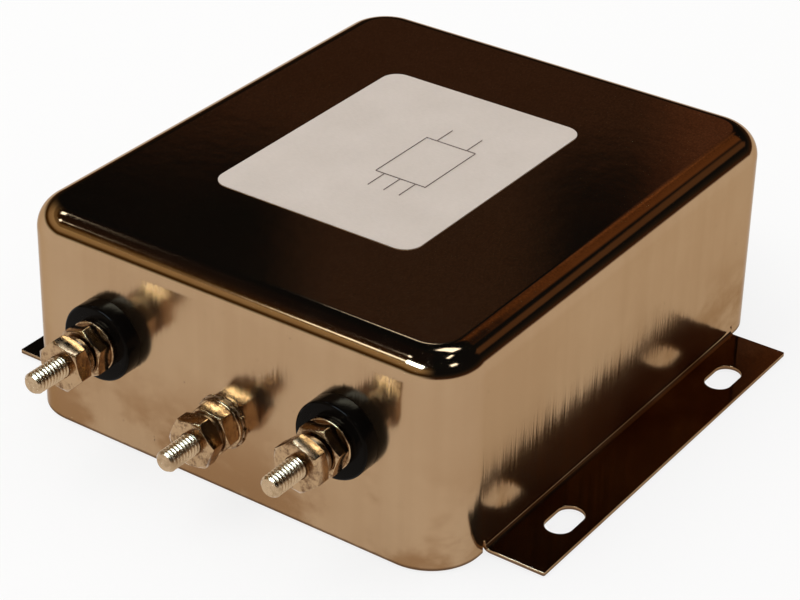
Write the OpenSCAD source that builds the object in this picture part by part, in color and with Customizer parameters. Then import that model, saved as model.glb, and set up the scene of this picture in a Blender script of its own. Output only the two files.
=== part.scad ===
// Single-phase EMI line filter in a drawn metal can with two mounting flanges.
// Frame: X runs along the studs with the LINE end at -X, Y runs across the
// flanges, Z is up. The origin is the bottom centre and all sizes are in mm.

/* [Housing] */

// Length of the can between the LINE and LOAD walls
body_l = 112; // [90:1:160]
// Width of the can between the flanged walls
body_w = 95; // [80:1:140]
// Height of the can from the flange underside to the top face
body_h = 42.2; // [34:0.2:60]
// Plan radius of the vertical corners
corner_r = 10.2; // [8:0.2:16]
// Radius of the drawn edge between wall and top
top_r = 5.4; // [3:0.2:7]
// Thickness of the drawn sheet
sheet = 0.8; // [0.5:0.1:1.2]

/* [Flanges] */

// Reach of a flange out from the wall
flange_out = 12; // [10:0.5:18]
// Length of a flange along the wall
flange_l = 87.8; // [70:0.2:91]
// Inside radius of the flange fold
fold_r = 1; // [0.5:0.1:2]
// Width of the relief slit at each end of a fold
relief_w = 0.5; // [0.3:0.1:1]
// Height of the relief slit up the wall
relief_h = 2.4; // [2:0.1:4]
// Slot spacing along the length
slot_dx = 57.4; // [45:0.1:70]
// Slot spacing across the width
slot_dy = 108.4; // [100:0.1:116]
// Slot length over its round ends
slot_l = 9; // [6:0.1:12]
// Slot width
slot_w = 5.2; // [4:0.1:6.5]

/* [Cover] */

// Sheet thickness of the base cover
cover_t = 0.8; // [0.5:0.1:1.2]
// Height of the turned-up rim of the base cover
cover_rim_h = 4; // [2:0.5:8]
// Gap between the base cover and the can wall
cover_gap = 0.1; // [0.05:0.05:0.3]

/* [Label] */

// Label length
label_l = 57.9; // [40:0.1:80]
// Label width
label_w = 44.3; // [30:0.1:60]
// Label corner radius
label_r = 3.5; // [1:0.1:6]
// Label thickness
label_t = 0.15; // [0.1:0.05:0.3]
// Label centre along the length
label_x = 0.7; // [-10:0.1:10]
// Label centre across the width
label_y = 2.2; // [-10:0.1:10]

/* [Terminals] */

// Distance of each insulated terminal from the centre plane
term_y = 25.8; // [20:0.1:30]
// Height of the insulated terminals
term_z = 22.3; // [18:0.1:26]
// Height of the earth stud
earth_z = 14.3; // [11:0.1:18]
// Thread major diameter of the studs
stud_d = 4.17; // [4:0.01:5]
// Plain diameter of a stud under its nuts
shank_d = 3.8; // [3.4:0.05:3.85]
// Free threaded length beyond the outer nut on an insulated stud
free_l = 7.05; // [5:0.05:12]
// Free threaded length beyond the outer nut on the earth stud
earth_free_l = 6.9; // [5:0.05:12]
// Tip chamfer of a stud
tip_c = 0.45; // [0.2:0.05:0.8]
// Thickness of the hexagon head at the inner end of a stud
head_h = 3.2; // [2.4:0.1:4]

/* [Insulators] */

// Insulator diameter
insul_d = 14.9; // [13:0.1:18]
// Insulator height outside the wall
insul_h = 3.45; // [2.5:0.05:6]
// Insulator height inside the wall
insul_in_h = 3; // [2.5:0.1:5]
// Bevel on the free edge of an insulator
insul_bevel = 0.5; // [0.2:0.1:1]
// Diameter of the neck that passes through the wall
neck_d = 8.4; // [7:0.1:10]
// Radial clearance around the neck
neck_gap = 0.1; // [0.05:0.05:0.2]

/* [Hardware] */

// Nut width across flats
nut_af = 8.73; // [8:0.01:10]
// Nut thickness
nut_h = 3.3; // [2.8:0.1:4]
// Axial depth of the nut chamfer
nut_c = 0.5; // [0.3:0.05:0.7]
// Bore diameter of nuts
nut_bore = 3.9; // [3.85:0.05:4.1]
// Flat washer outer diameter
washer_d = 9.8; // [9:0.1:11]
// Bore diameter of washers and lugs
washer_bore = 4.4; // [4.3:0.05:4.8]
// Flat washer thickness on the insulated studs
washer_t = 1; // [0.6:0.1:1.4]
// Flat washer thickness on the earth stud
earth_washer_t = 0.7; // [0.5:0.1:1.2]
// Tooth washer outer diameter
tooth_d = 10.4; // [9.5:0.1:11]
// Tooth washer thickness
tooth_t = 0.5; // [0.4:0.05:0.8]
// Number of teeth on the tooth washer
tooth_n = 14; // [8:1:20]
// Lock washer outer diameter
lock_d = 7.6; // [7:0.1:8.5]
// Lock washer section thickness
lock_t = 1.1; // [0.8:0.1:1.4]
// Space an open lock washer takes between the two nuts
lock_h = 2; // [1.5:0.1:2.6]
// Space the closed lock washer takes on the earth stud
earth_lock_h = 1.2; // [1.1:0.1:2]
// Turn of the inner nuts, first stud then second stud
inner_turn = 37.5; // [0:0.5:60]
// Extra turn of the second inner nut
inner_turn_step = 10.5; // [0:0.5:60]
// Turn of the outer nuts
outer_turn = 15.5; // [0:0.5:60]
// Extra turn of the second outer nut
outer_turn_step = 5.5; // [0:0.5:60]
// Turn of the inner earth nut
earth_inner_turn = 10; // [0:0.5:60]
// Turn of the outer earth nut
earth_outer_turn = 53; // [0:0.5:60]

/* [Lugs and leads] */

// Ring lug diameter
lug_d = 8.8; // [8:0.1:10]
// Ring lug sheet thickness
lug_t = 0.8; // [0.6:0.1:1.2]
// Width of the lug tongue
tongue_w = 4; // [3:0.1:5]
// Distance from the stud axis to the top of the lug barrel
tongue_l = 8.4; // [7:0.1:10]
// Outer diameter of the lug barrel
barrel_d = 3.6; // [3:0.1:4]
// Length of the lug barrel
barrel_l = 4.2; // [3:0.1:6]
// Diameter of the power wire
wire_d = 2.2; // [1.6:0.1:2.6]
// Diameter of the thin component wires
lead_d = 0.8; // [0.6:0.1:1]

/* [Choke] */

// Outer diameter of the ring core
core_od = 41; // [36:0.5:44]
// Inner diameter of the ring core
core_id = 25; // [22:0.5:28]
// Height of the ring core
core_h = 14; // [10:0.5:18]
// Chamfer on the core's edges
core_c = 2; // [0.8:0.1:2.5]
// Turns of each winding
turns = 9; // [6:1:10]
// Angle each winding covers
wind_span = 144; // [120:2:150]
// Gap between the core and the wire
wind_gap = 0.25; // [0.2:0.05:0.5]
// Wall of the choke cup
cup_t = 1; // [0.8:0.1:1.5]
// Gap between the windings and the cup
cup_gap = 0.7; // [0.4:0.1:1.5]
// Height of the choke cup
cup_h = 8; // [6:0.5:10]
// Radius of the centre post
post_r = 6; // [4:0.5:8]
// Thickness of the fins that keep the windings apart
fin_t = 1.6; // [1:0.1:3]

/* [Components] */

// Thickness of an X capacitor
xcap_t = 10; // [8:0.5:12]
// Width of an X capacitor
xcap_w = 26; // [20:0.5:28]
// Height of an X capacitor
xcap_h = 19; // [15:0.5:22]
// Gap between the choke cup and an X capacitor
xcap_gap = 5; // [4:0.5:7]
// Thickness of a Y capacitor
ycap_t = 5; // [4:0.5:6]
// Width of a Y capacitor
ycap_w = 10; // [8:0.5:12]
// Height of a Y capacitor
ycap_h = 9.5; // [8:0.5:12]
// Distance of a Y capacitor from the centre plane
ycap_y = 12.5; // [11.5:0.1:14]
// Diameter of the bleed resistor
res_d = 3.2; // [2.4:0.1:4]
// Length of the bleed resistor
res_l = 9; // [6:0.5:12]
// Thickness of the insulating liner
liner_t = 0.3; // [0.2:0.1:0.6]
// Depth of the potting resin
resin_h = 3.5; // [2:0.5:4]
// Clearance around the parts set in the resin
set_gap = 0.05; // [0.02:0.01:0.1]

/* [Hidden] */

$fn = 48;

half_l = body_l / 2;
half_w = body_w / 2;
cx = half_l - corner_r;
cy = half_w - corner_r;
fillet_in = corner_r - top_r;
fold_top = sheet + fold_r;

nut_R = nut_af / sqrt(3);
hex_face_r = nut_R - nut_c * sqrt(3);

// Stack heights measured outward from the wall face
z_washer = insul_h;
z_nut1 = z_washer + washer_t;
z_lock = z_nut1 + nut_h;
z_nut2 = z_lock + lock_h;
z_free = z_nut2 + nut_h;
z_tip = z_free + free_l;

e_washer = tooth_t;
e_nut1 = e_washer + earth_washer_t;
e_lock = e_nut1 + nut_h;
e_nut2 = e_lock + earth_lock_h;
e_free = e_nut2 + nut_h;
e_tip = e_free + earth_free_l;

// Stack depths measured inward from the wall's outer face
d_lug = sheet + insul_in_h;
d_head = d_lug + lug_t;

floor_z = cover_t + liner_t;
wire_r = wire_d / 2;
core_mid_r = (core_od + core_id) / 4;
wind_a = (core_od - core_id) / 4 + wind_gap + wire_r;
wind_b = core_h / 2 + wind_gap + wire_r;
wind_or = core_mid_r + wind_a + wire_r;
cup_or = wind_or + cup_gap + cup_t;
disc_z = floor_z + cup_t;
core_z = disc_z + 0.1 + wire_r + wind_b;
xcap_x = cup_or + xcap_gap + xcap_t / 2;
xcap_top = floor_z + xcap_h;
bus_z = floor_z + resin_h + 2.0;
lug_x = half_l - d_lug - lug_t / 2;
barrel_x = half_l - d_lug - barrel_d / 2;
barrel_z = term_z - tongue_l - barrel_l;
res_z = xcap_top + res_d / 2 + 0.1;
ycap_x = half_l - sheet - 5.2 - ycap_t / 2;

// Node to draw, or "all"

// ---------- helpers ----------

// Places a child on the LINE wall with its z axis pointing outward.
module on_line(y, z) {
  translate([-half_l, y, z]) rotate([0, -90, 0]) children();
}

// Repeats LINE-end pieces at the LOAD end.
module load_end() { rotate([0, 0, 180]) children(); }

// Plate with rounded plan corners, made of abutting blocks and quarter discs.
module rounded_plate(l, w, r, h) {
  translate([-l / 2 + r, -w / 2, 0]) cube([l - 2 * r, w, h]);
  for (s = [-1, 1])
    translate([s * (l / 2 - r / 2) - r / 2, -w / 2 + r, 0]) cube([r, w - 2 * r, h]);
  corners(l / 2 - r, w / 2 - r) rotate_extrude(angle = 90) square([r, h]);
}

// Upright band with rounded plan corners.
module rounded_band(l, w, r, t, h) {
  for (s = [-1, 1]) {
    translate([-l / 2 + r, s * (w / 2 - t / 2) - t / 2, 0]) cube([l - 2 * r, t, h]);
    translate([s * (l / 2 - t / 2) - t / 2, -w / 2 + r, 0]) cube([t, w - 2 * r, h]);
  }
  corners(l / 2 - r, w / 2 - r)
    rotate_extrude(angle = 90) translate([r - t, 0]) square([t, h]);
}

// Puts a quarter piece at all four plan corners.
module corners(x, y) {
  translate([x, y, 0]) children();
  translate([-x, y, 0]) rotate([0, 0, 90]) children();
  translate([-x, -y, 0]) rotate([0, 0, 180]) children();
  translate([x, -y, 0]) rotate([0, 0, 270]) children();
}

// Flat ring standing on z = 0.
module ring(d, bore, h) {
  difference() {
    cylinder(d = d, h = h);
    translate([0, 0, -1]) cylinder(d = bore, h = h + 2);
  }
}

// Hexagon blank with both faces chamfered.
module hex_blank(af, h, c, face_r) {
  R = af / sqrt(3);
  intersection() {
    cylinder(r = R, h = h, $fn = 6);
    rotate_extrude() polygon([
      [0, 0], [face_r, 0], [R + 0.02, c + 0.01], [R + 0.02, h - c - 0.01],
      [face_r, h], [0, h]
    ]);
  }
}

// Hexagon nut standing on z = 0, turned by its corner angle.
module nut(turn) {
  difference() {
    rotate([0, 0, 90 - turn]) hex_blank(nut_af, nut_h, nut_c, hex_face_r);
    translate([0, 0, -1]) cylinder(d = nut_bore, h = nut_h + 2);
  }
}

// Round rod between two points.
module rod(p, q, d) {
  v = q - p;
  l = norm(v);
  translate(p) rotate([0, acos(v[2] / l), atan2(v[1], v[0])]) cylinder(d = d, h = l);
}

// ---------- housing ----------

// Wall and drawn edge, measured outward from the corner axis.
module wall_section(z0) {
  translate([corner_r - sheet, z0]) square([sheet, body_h - top_r - z0]);
  translate([fillet_in, body_h - top_r]) intersection() {
    difference() { circle(top_r); circle(top_r - sheet); }
    square([top_r + 1, top_r + 1]);
  }
}

// One wall section run along X on the +Y side.
module side_run(x0, x1, z0) {
  translate([x0, cy, 0]) rotate([90, 0, 90]) linear_extrude(x1 - x0) wall_section(z0);
}

// Fold between wall and flange.
module fold_run() {
  translate([-flange_l / 2, half_w + fold_r, fold_top]) rotate([90, 0, 90])
    linear_extrude(flange_l) intersection() {
      difference() { circle(fold_r + sheet); circle(fold_r); }
      translate([-fold_r - sheet - 1, -fold_r - sheet - 1])
        square([fold_r + sheet + 1, fold_r + sheet + 1]);
    }
}

// Flat part of a flange with its two slots.
module flange_plate() {
  linear_extrude(sheet) difference() {
    translate([-flange_l / 2, half_w + fold_r]) square([flange_l, flange_out - fold_r]);
    for (s = [-1, 1]) translate([s * slot_dx / 2, slot_dy / 2]) {
      square([slot_l - slot_w, slot_w], center = true);
      for (e = [-1, 1]) translate([e * (slot_l - slot_w) / 2, 0]) circle(d = slot_w);
    }
  }
}

module flanged_side() {
  f = flange_l / 2;
  side_run(-f, f, fold_top);
  side_run(-f - relief_w, -f, relief_h);
  side_run(f, f + relief_w, relief_h);
  side_run(-cx, -f - relief_w, 0);
  side_run(f + relief_w, cx, 0);
  fold_run();
  flange_plate();
}

// LINE wall with its three openings.
module end_wall(earth) {
  difference() {
    translate([-cx, -cy, 0]) rotate([90, 0, 180]) linear_extrude(2 * cy) wall_section(0);
    for (s = [-1, 1]) on_line(s * term_y, term_z) translate([0, 0, -sheet - 1])
      cylinder(d = neck_d + 2 * neck_gap, h = sheet + 2);
    if (earth) on_line(0, earth_z) translate([0, 0, -sheet - 1])
      cylinder(d = washer_bore, h = sheet + 2);
  }
}

module drawn_can() color([0.66, 0.6, 0.52]) {
  flanged_side();
  rotate([0, 0, 180]) flanged_side();
  end_wall(true);
  load_end() end_wall(false);
  corners(cx, cy) rotate_extrude(angle = 90) {
    wall_section(0);
    translate([0, body_h - sheet]) square([fillet_in, sheet]);
  }
  translate([-cx, -half_w + top_r, body_h - sheet]) cube([2 * cx, body_w - 2 * top_r, sheet]);
  for (s = [-1, 1])
    translate([s * (cx + fillet_in / 2) - fillet_in / 2, -cy, body_h - sheet])
      cube([fillet_in, 2 * cy, sheet]);
}

module base_cover() color([0.6, 0.56, 0.5]) {
  l = body_l - 2 * (sheet + cover_gap);
  w = body_w - 2 * (sheet + cover_gap);
  r = corner_r - sheet - cover_gap;
  rounded_plate(l, w, r, cover_t);
  translate([0, 0, cover_t]) rounded_band(l, w, r, cover_t, cover_rim_h - cover_t);
}

module rating_label() color([0.85, 0.83, 0.8])
  translate([label_x, label_y, body_h]) rounded_plate(label_l, label_w, label_r, label_t);

// ---------- insulators ----------

module insulator_outer() {
  r = insul_d / 2;
  n = neck_d / 2;
  b = washer_bore / 2;
  rotate_extrude() polygon([
    [b, -sheet - 0.6], [n, -sheet - 0.6], [n, 0], [r, 0], [r, insul_h - insul_bevel],
    [r - insul_bevel, insul_h], [b, insul_h]
  ]);
}

module insulator_inner() {
  r = insul_d / 2;
  n = neck_d / 2 + neck_gap;
  b = washer_bore / 2;
  rotate_extrude() polygon([
    [n, -sheet], [n, -sheet - 0.7], [b, -sheet - 0.7], [b, -d_lug],
    [r - insul_bevel, -d_lug], [r, -d_lug + insul_bevel], [r, -sheet]
  ]);
}

module line_insulators_outer() color([0.08, 0.08, 0.09])
  for (s = [-1, 1]) on_line(s * term_y, term_z) insulator_outer();
module line_insulators_inner() color([0.1, 0.1, 0.11])
  for (s = [-1, 1]) on_line(s * term_y, term_z) insulator_inner();
module load_insulators_outer() load_end() line_insulators_outer();
module load_insulators_inner() load_end() line_insulators_inner();

// ---------- studs ----------

// Bolt with its hexagon head inside and a free threaded end outside.
module stud(inner, free, tip) {
  s = shank_d / 2;
  r = stud_d / 2;
  rotate_extrude() polygon([
    [0, -inner], [s, -inner], [s, free], [r, free], [r, tip - tip_c],
    [r - tip_c, tip], [0, tip]
  ]);
  translate([0, 0, -inner - head_h]) hex_blank(nut_af, head_h, nut_c, hex_face_r);
}

module line_studs() color([0.75, 0.72, 0.66])
  for (s = [-1, 1]) on_line(s * term_y, term_z) stud(d_head, z_free, z_tip);
module load_studs() load_end() line_studs();
module earth_stud() color([0.75, 0.72, 0.66])
  on_line(0, earth_z) stud(sheet + lug_t, e_free, e_tip);

// ---------- washers and nuts ----------

module line_washers() color([0.72, 0.68, 0.6])
  for (s = [-1, 1]) on_line(s * term_y, term_z)
    translate([0, 0, z_washer]) ring(washer_d, washer_bore, washer_t);
module load_washers() load_end() line_washers();
module earth_washer() color([0.72, 0.68, 0.6])
  on_line(0, earth_z) translate([0, 0, e_washer]) ring(washer_d, washer_bore, earth_washer_t);

module earth_tooth_washer() color([0.68, 0.64, 0.56])
  on_line(0, earth_z) difference() {
    ring(tooth_d, washer_bore, tooth_t);
    for (i = [0:tooth_n - 1]) rotate([0, 0, (i + 0.5) * 360 / tooth_n])
      translate([tooth_d / 2 - 0.9, -0.35, -1]) cube([2, 0.7, tooth_t + 2]);
  }

module line_inner_nuts() color([0.7, 0.66, 0.58])
  for (i = [0, 1]) on_line((1 - 2 * i) * term_y, term_z)
    translate([0, 0, z_nut1]) nut(inner_turn + i * inner_turn_step);
module load_inner_nuts() load_end() line_inner_nuts();
module earth_inner_nut() color([0.7, 0.66, 0.58])
  on_line(0, earth_z) translate([0, 0, e_nut1]) nut(earth_inner_turn);

module line_outer_nuts() color([0.72, 0.68, 0.6])
  for (i = [0, 1]) on_line((1 - 2 * i) * term_y, term_z)
    translate([0, 0, z_nut2]) nut(outer_turn + i * outer_turn_step);
module load_outer_nuts() load_end() line_outer_nuts();
module earth_outer_nut() color([0.72, 0.68, 0.6])
  on_line(0, earth_z) translate([0, 0, e_nut2]) nut(earth_outer_turn);

// Open spring washer: a rectangular section carried up one helical turn.
module open_lock_washer() {
  n = 30;
  ri = washer_bore / 2;
  ro = lock_d / 2;
  rise = lock_h - lock_t;
  pts = [for (i = [0:n]) let (a = 6 + 348 * i / n, z = rise * i / n)
    each [
      [ri * cos(a), ri * sin(a), z], [ro * cos(a), ro * sin(a), z],
      [ro * cos(a), ro * sin(a), z + lock_t], [ri * cos(a), ri * sin(a), z + lock_t]
    ]];
  sides = [for (i = [0:n - 1]) for (k = [0:3])
    let (a = 4 * i + k, b = 4 * i + (k + 1) % 4) each [[a, b, a + 4], [b, b + 4, a + 4]]];
  polyhedron(points = pts, faces = concat([[3, 2, 1, 0]], sides,
    [[4 * n, 4 * n + 1, 4 * n + 2, 4 * n + 3]]));
}

module line_lock_washers() color([0.66, 0.62, 0.55])
  for (s = [-1, 1]) on_line(s * term_y, term_z)
    translate([0, 0, z_lock]) rotate([0, 0, 140]) open_lock_washer();
module load_lock_washers() load_end() line_lock_washers();
module earth_lock_washer() color([0.66, 0.62, 0.55])
  on_line(0, earth_z) translate([0, 0, e_lock]) difference() {
    ring(lock_d, washer_bore, earth_lock_h);
    rotate([0, 0, 70]) translate([0, -0.4, -1]) cube([lock_d, 0.8, earth_lock_h + 2]);
  }

// ---------- lugs ----------

// Ring lug hanging below its stud, with a crimp barrel for the power wire.
module ring_lug() {
  translate([0, 0, -lug_t]) difference() {
    union() {
      cylinder(d = lug_d, h = lug_t);
      translate([-tongue_l - barrel_l / 2, -tongue_w / 2, 0])
        cube([tongue_l + barrel_l / 2 - lug_d / 4, tongue_w, lug_t]);
    }
    translate([0, 0, -1]) cylinder(d = washer_bore, h = lug_t + 2);
    translate([-tongue_l - barrel_l - 1, -tongue_w, -1]) cube([barrel_l + 1, 2 * tongue_w, lug_t + 2]);
  }
  translate([-tongue_l - barrel_l, 0, -barrel_d / 2]) rotate([0, 90, 0])
    ring(barrel_d, wire_d + 0.1, barrel_l);
}

module line_lugs() color([0.8, 0.72, 0.6])
  for (s = [-1, 1]) on_line(s * term_y, term_z) translate([0, 0, -d_lug]) ring_lug();
module load_lugs() load_end() line_lugs();

module earth_lug() color([0.8, 0.72, 0.6])
  on_line(0, earth_z) translate([0, 0, -sheet - lug_t]) difference() {
    union() {
      cylinder(d = lug_d, h = lug_t);
      translate([-earth_z + floor_z + resin_h + 0.4, -tongue_w / 2, 0])
        cube([earth_z - floor_z - resin_h - 0.4 - lug_d / 4, tongue_w, lug_t]);
    }
    translate([0, 0, -1]) cylinder(d = washer_bore, h = lug_t + 2);
  }

// ---------- choke ----------

module choke_core() color([0.15, 0.3, 0.2])
  translate([0, 0, core_z]) rotate_extrude() {
    a = core_id / 2;
    b = core_od / 2;
    h = core_h / 2;
    polygon([
      [a, -h + core_c], [a + core_c, -h], [b - core_c, -h], [b, -h + core_c],
      [b, h - core_c], [b - core_c, h], [a + core_c, h], [a, h - core_c]
    ]);
  }

// Signed root that squares off the winding path around the core section.
function squared(v) = sign(v) * pow(abs(v), 0.4);

// Point on the winding, t runs from 0 to 1.
function wind_point(t) =
  let (p = 90 + wind_span / 2 - wind_span * t, q = 360 * turns * t,
       r = core_mid_r + wind_a * squared(cos(q)))
  [r * cos(p), r * sin(p), core_z + wind_b * squared(sin(q))];

function unit(v) = v / norm(v);

// Solid made by joining rings of m points each, closed at both ends.
module swept(rings, m) {
  n = len(rings) - 1;
  sides = [for (i = [0:n - 1]) for (k = [0:m - 1])
    let (a = m * i + k, b = m * i + (k + 1) % m) each [[a, a + m, b], [b, a + m, b + m]]];
  polyhedron(points = [for (g = rings) each g], faces = concat([[for (k = [0:m - 1]) k]],
    sides, [[for (k = [m - 1:-1:0]) m * n + k]]));
}

// Ring of m points round c, square to d, with g giving its turn.
function ring_points(c, d, g, r, m) =
  let (u = unit(g - (g * d) * d), v = cross(d, u))
  [for (k = [0:m - 1]) c + r * (cos(360 * k / m) * u + sin(360 * k / m) * v)];

// Wire of one winding as a single swept solid.
module winding() {
  n = turns * 14;
  swept([for (i = [0:n])
    let (t = i / n, h = 0.25 / n, p = 90 + wind_span / 2 - wind_span * t)
    ring_points(wind_point(t), unit(wind_point(t + h) - wind_point(t - h)),
      [-sin(p), cos(p), 0], wire_r, 8)], 8);
}

module winding_a() color([0.75, 0.4, 0.2]) winding();
module winding_b() color([0.7, 0.36, 0.18]) load_end() winding();

module choke_cup() color([0.2, 0.2, 0.22])
  translate([0, 0, floor_z]) {
    cylinder(r = cup_or, h = cup_t);
    translate([0, 0, cup_t]) ring(2 * cup_or, 2 * (cup_or - cup_t), cup_h - cup_t);
  }

// Post with two fins that stand between the windings.
module choke_holder() color([0.85, 0.85, 0.8]) {
  top = core_z + core_h / 2;
  translate([0, 0, disc_z]) cylinder(r = post_r, h = top - disc_z);
  for (s = [-1, 1])
    translate([s * (core_id / 4) - core_id / 4 + 0.1, -fin_t / 2, disc_z])
      cube([core_id / 2 - 0.2, fin_t, top - disc_z]);
}

// ---------- components ----------

module x_cap() translate([-xcap_x - xcap_t / 2, -xcap_w / 2, floor_z])
  cube([xcap_t, xcap_w, xcap_h]);
module x_cap_line() color([0.85, 0.65, 0.2]) x_cap();
module x_cap_load() color([0.85, 0.65, 0.2]) load_end() x_cap();

module y_cap(s, g) translate([-ycap_x - ycap_t / 2 - g, s * ycap_y - ycap_w / 2 - g, floor_z])
  cube([ycap_t + 2 * g, ycap_w + 2 * g, ycap_h]);
module y_caps() color([0.2, 0.4, 0.7]) for (s = [-1, 1]) y_cap(s, 0);

module bleed_resistor() color([0.6, 0.75, 0.8])
  translate([-xcap_x, -res_l / 2, res_z]) rotate([-90, 0, 0]) cylinder(d = res_d, h = res_l);

// Point and direction on a curve from a to b that leaves along ta and arrives along tb.
function curve_at(a, ta, b, tb, t) = [
  (2 * t * t * t - 3 * t * t + 1) * a + (t * t * t - 2 * t * t + t) * ta
    + (3 * t * t - 2 * t * t * t) * b + (t * t * t - t * t) * tb,
  unit((6 * t * t - 6 * t) * (a - b) + (3 * t * t - 4 * t + 1) * ta + (3 * t * t - 2 * t) * tb)
];

// Power wire from a terminal lug, round the X capacitor, to the end of a winding.
module power_lead(s) {
  p = 90 + wind_span / 2;
  r = core_mid_r + wind_a + wire_r + 0.1;
  a = [-barrel_x, s * term_y, barrel_z - 0.3];
  m = [-cup_or - 4, s * (xcap_w / 2 + 3.5), bus_z];
  b = [r * cos(p), s * r * sin(p), core_z];
  tm = [12, -s * 9, 2];
  n = 14;
  swept(concat(
    [ring_points(a + [0, 0, barrel_l - 0.5], [0, 0, -1], [1, 0, 0], wire_r - 0.02, 8)],
    [for (i = [0:n]) let (c = curve_at(a, [0, 0, -16], m, tm, i / n))
      ring_points(c[0], c[1], [1, 0, 0.9 * i / n], wire_r - 0.02, 8)],
    [for (i = [1:n]) let (c = curve_at(m, tm, b, [10, -s * 6, 0], i / n))
      ring_points(c[0], c[1], [1, 0, 0.9], wire_r - 0.02, 8)]), 8);
}

module line_leads() color([0.75, 0.4, 0.2]) for (s = [-1, 1]) power_lead(s);
module load_leads() load_end() line_leads();

// Path with each bend replaced by a short curve that starts b before it.
function eased(pts, b) = concat([pts[0]],
  [for (i = [1:len(pts) - 2])
    let (p = pts[i], u = b * unit(pts[i - 1] - p), v = b * unit(pts[i + 1] - p))
      each [for (t = [0:0.25:1]) p + (1 - t) * (1 - t) * u + t * t * v]],
  [pts[len(pts) - 1]]);

// Thin bent wire along a path.
module bent_wire(pts, d) {
  q = eased(pts, d);
  n = len(q) - 1;
  swept([for (i = [0:n])
    ring_points(q[i], unit(q[min(i + 1, n)] - q[max(i - 1, 0)]), [0, 1, 0], d / 2, 8)], 8);
}

// Thin wire from an X capacitor past its resistor level to a lug.
module cap_wires(s) {
  w = xcap_w / 2 - 4;
  bent_wire([
    [-xcap_x, s * w, xcap_top], [-xcap_x, s * w, res_z],
    [-xcap_x - xcap_t / 2 - 1.4, s * w, res_z],
    [-lug_x + 5.5, s * (term_y - 6), term_z - 7.2],
    [-lug_x + lug_t / 2 + 0.25, s * (term_y - tongue_w / 2 + 0.5), term_z - 7.2]
  ], lead_d);
}

module component_wires() color([0.8, 0.8, 0.78]) {
  for (s = [-1, 1]) {
    cap_wires(s);
    load_end() cap_wires(s);
    rod([-xcap_x, s * res_l / 2, res_z], [-xcap_x, s * (xcap_w / 2 - 4.3), res_z], lead_d);
    rod([-ycap_x - 1, s * (ycap_y - ycap_w / 2 - 0.35), floor_z + 5.5],
      [-half_l + sheet + lug_t + 0.35, s * 1.2, floor_z + resin_h + 2.2], lead_d);
    rod([-ycap_x, s * (ycap_y + ycap_w / 2 + 0.3), floor_z + 6.5],
      [-barrel_x - 0.3, s * (term_y - barrel_d / 2 - 0.35), barrel_z + barrel_l / 2], lead_d);
  }
}

module insulating_liner() color([0.9, 0.88, 0.75])
  translate([0, 0, cover_t]) rounded_plate(
    body_l - 2 * (sheet + cover_gap + cover_t) - 0.2, body_w - 2 * (sheet + cover_gap + cover_t) - 0.2,
    corner_r - sheet - cover_gap - cover_t - 0.1, liner_t);

module potting_resin() color([0.12, 0.12, 0.12])
  difference() {
    translate([0, 0, floor_z]) rounded_plate(
      body_l - 2 * (sheet + cover_gap + cover_t) - 0.2, body_w - 2 * (sheet + cover_gap + cover_t) - 0.2,
      corner_r - sheet - cover_gap - cover_t - 0.1, resin_h);
    translate([0, 0, floor_z - 1]) cylinder(r = cup_or + set_gap, h = resin_h + 2);
    for (s = [-1, 1]) {
      translate([s * xcap_x - xcap_t / 2 - set_gap, -xcap_w / 2 - set_gap, floor_z - 1])
        cube([xcap_t + 2 * set_gap, xcap_w + 2 * set_gap, resin_h + 2]);
      translate([0, 0, -1]) y_cap(s, set_gap);
    }
  }

// ---------- output ----------

drawn_can();
base_cover();
rating_label();
line_insulators_outer();
line_insulators_inner();
load_insulators_outer();
load_insulators_inner();
line_studs();
load_studs();
earth_stud();
line_washers();
load_washers();
earth_washer();
earth_tooth_washer();
line_inner_nuts();
load_inner_nuts();
earth_inner_nut();
line_lock_washers();
load_lock_washers();
earth_lock_washer();
line_outer_nuts();
load_outer_nuts();
earth_outer_nut();
line_lugs();
load_lugs();
earth_lug();
choke_core();
winding_a();
winding_b();
choke_cup();
choke_holder();
x_cap_line();
x_cap_load();
y_caps();
bleed_resistor();
line_leads();
load_leads();
component_wires();
insulating_liner();
potting_resin();
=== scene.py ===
import logging
import math
from dataclasses import dataclass
from enum import Enum
from typing import Callable, ClassVar, NamedTuple, Optional, Sequence

import bpy
import numpy as np
from mathutils import Matrix, Vector, geometry


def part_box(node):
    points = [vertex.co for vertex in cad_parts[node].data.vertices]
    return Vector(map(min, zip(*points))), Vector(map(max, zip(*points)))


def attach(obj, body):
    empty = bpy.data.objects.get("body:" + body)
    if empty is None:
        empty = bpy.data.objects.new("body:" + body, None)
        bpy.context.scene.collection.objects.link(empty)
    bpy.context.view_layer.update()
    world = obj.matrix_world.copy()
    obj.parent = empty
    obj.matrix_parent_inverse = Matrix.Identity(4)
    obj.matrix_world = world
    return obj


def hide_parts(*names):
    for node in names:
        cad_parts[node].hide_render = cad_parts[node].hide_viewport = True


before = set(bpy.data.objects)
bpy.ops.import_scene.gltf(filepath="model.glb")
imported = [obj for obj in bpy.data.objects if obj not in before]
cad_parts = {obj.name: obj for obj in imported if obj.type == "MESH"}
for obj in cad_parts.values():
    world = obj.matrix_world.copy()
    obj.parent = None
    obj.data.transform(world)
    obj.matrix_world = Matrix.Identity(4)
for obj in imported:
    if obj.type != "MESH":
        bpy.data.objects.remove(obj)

LOG = logging.getLogger("line_filter")
MM = 0.001
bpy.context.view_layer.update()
QUARTER = math.pi / 2
SIXTH = math.pi / 3
ON_AXIS = 1e-6
UNTURNED = np.eye(3)
ALONG_X, ALONG_Y, ALONG_Z = UNTURNED

Pair = tuple[float, float]
Triple = tuple[float, float, float]
Colour = Triple


# ---------------------------------------------------------------- shapes

def box_mm(node: str) -> tuple[np.ndarray, np.ndarray]:
    """Gives a CAD node's lowest and highest corners in millimetres."""
    lo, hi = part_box(node)
    return np.array(lo) / MM, np.array(hi) / MM


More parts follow.
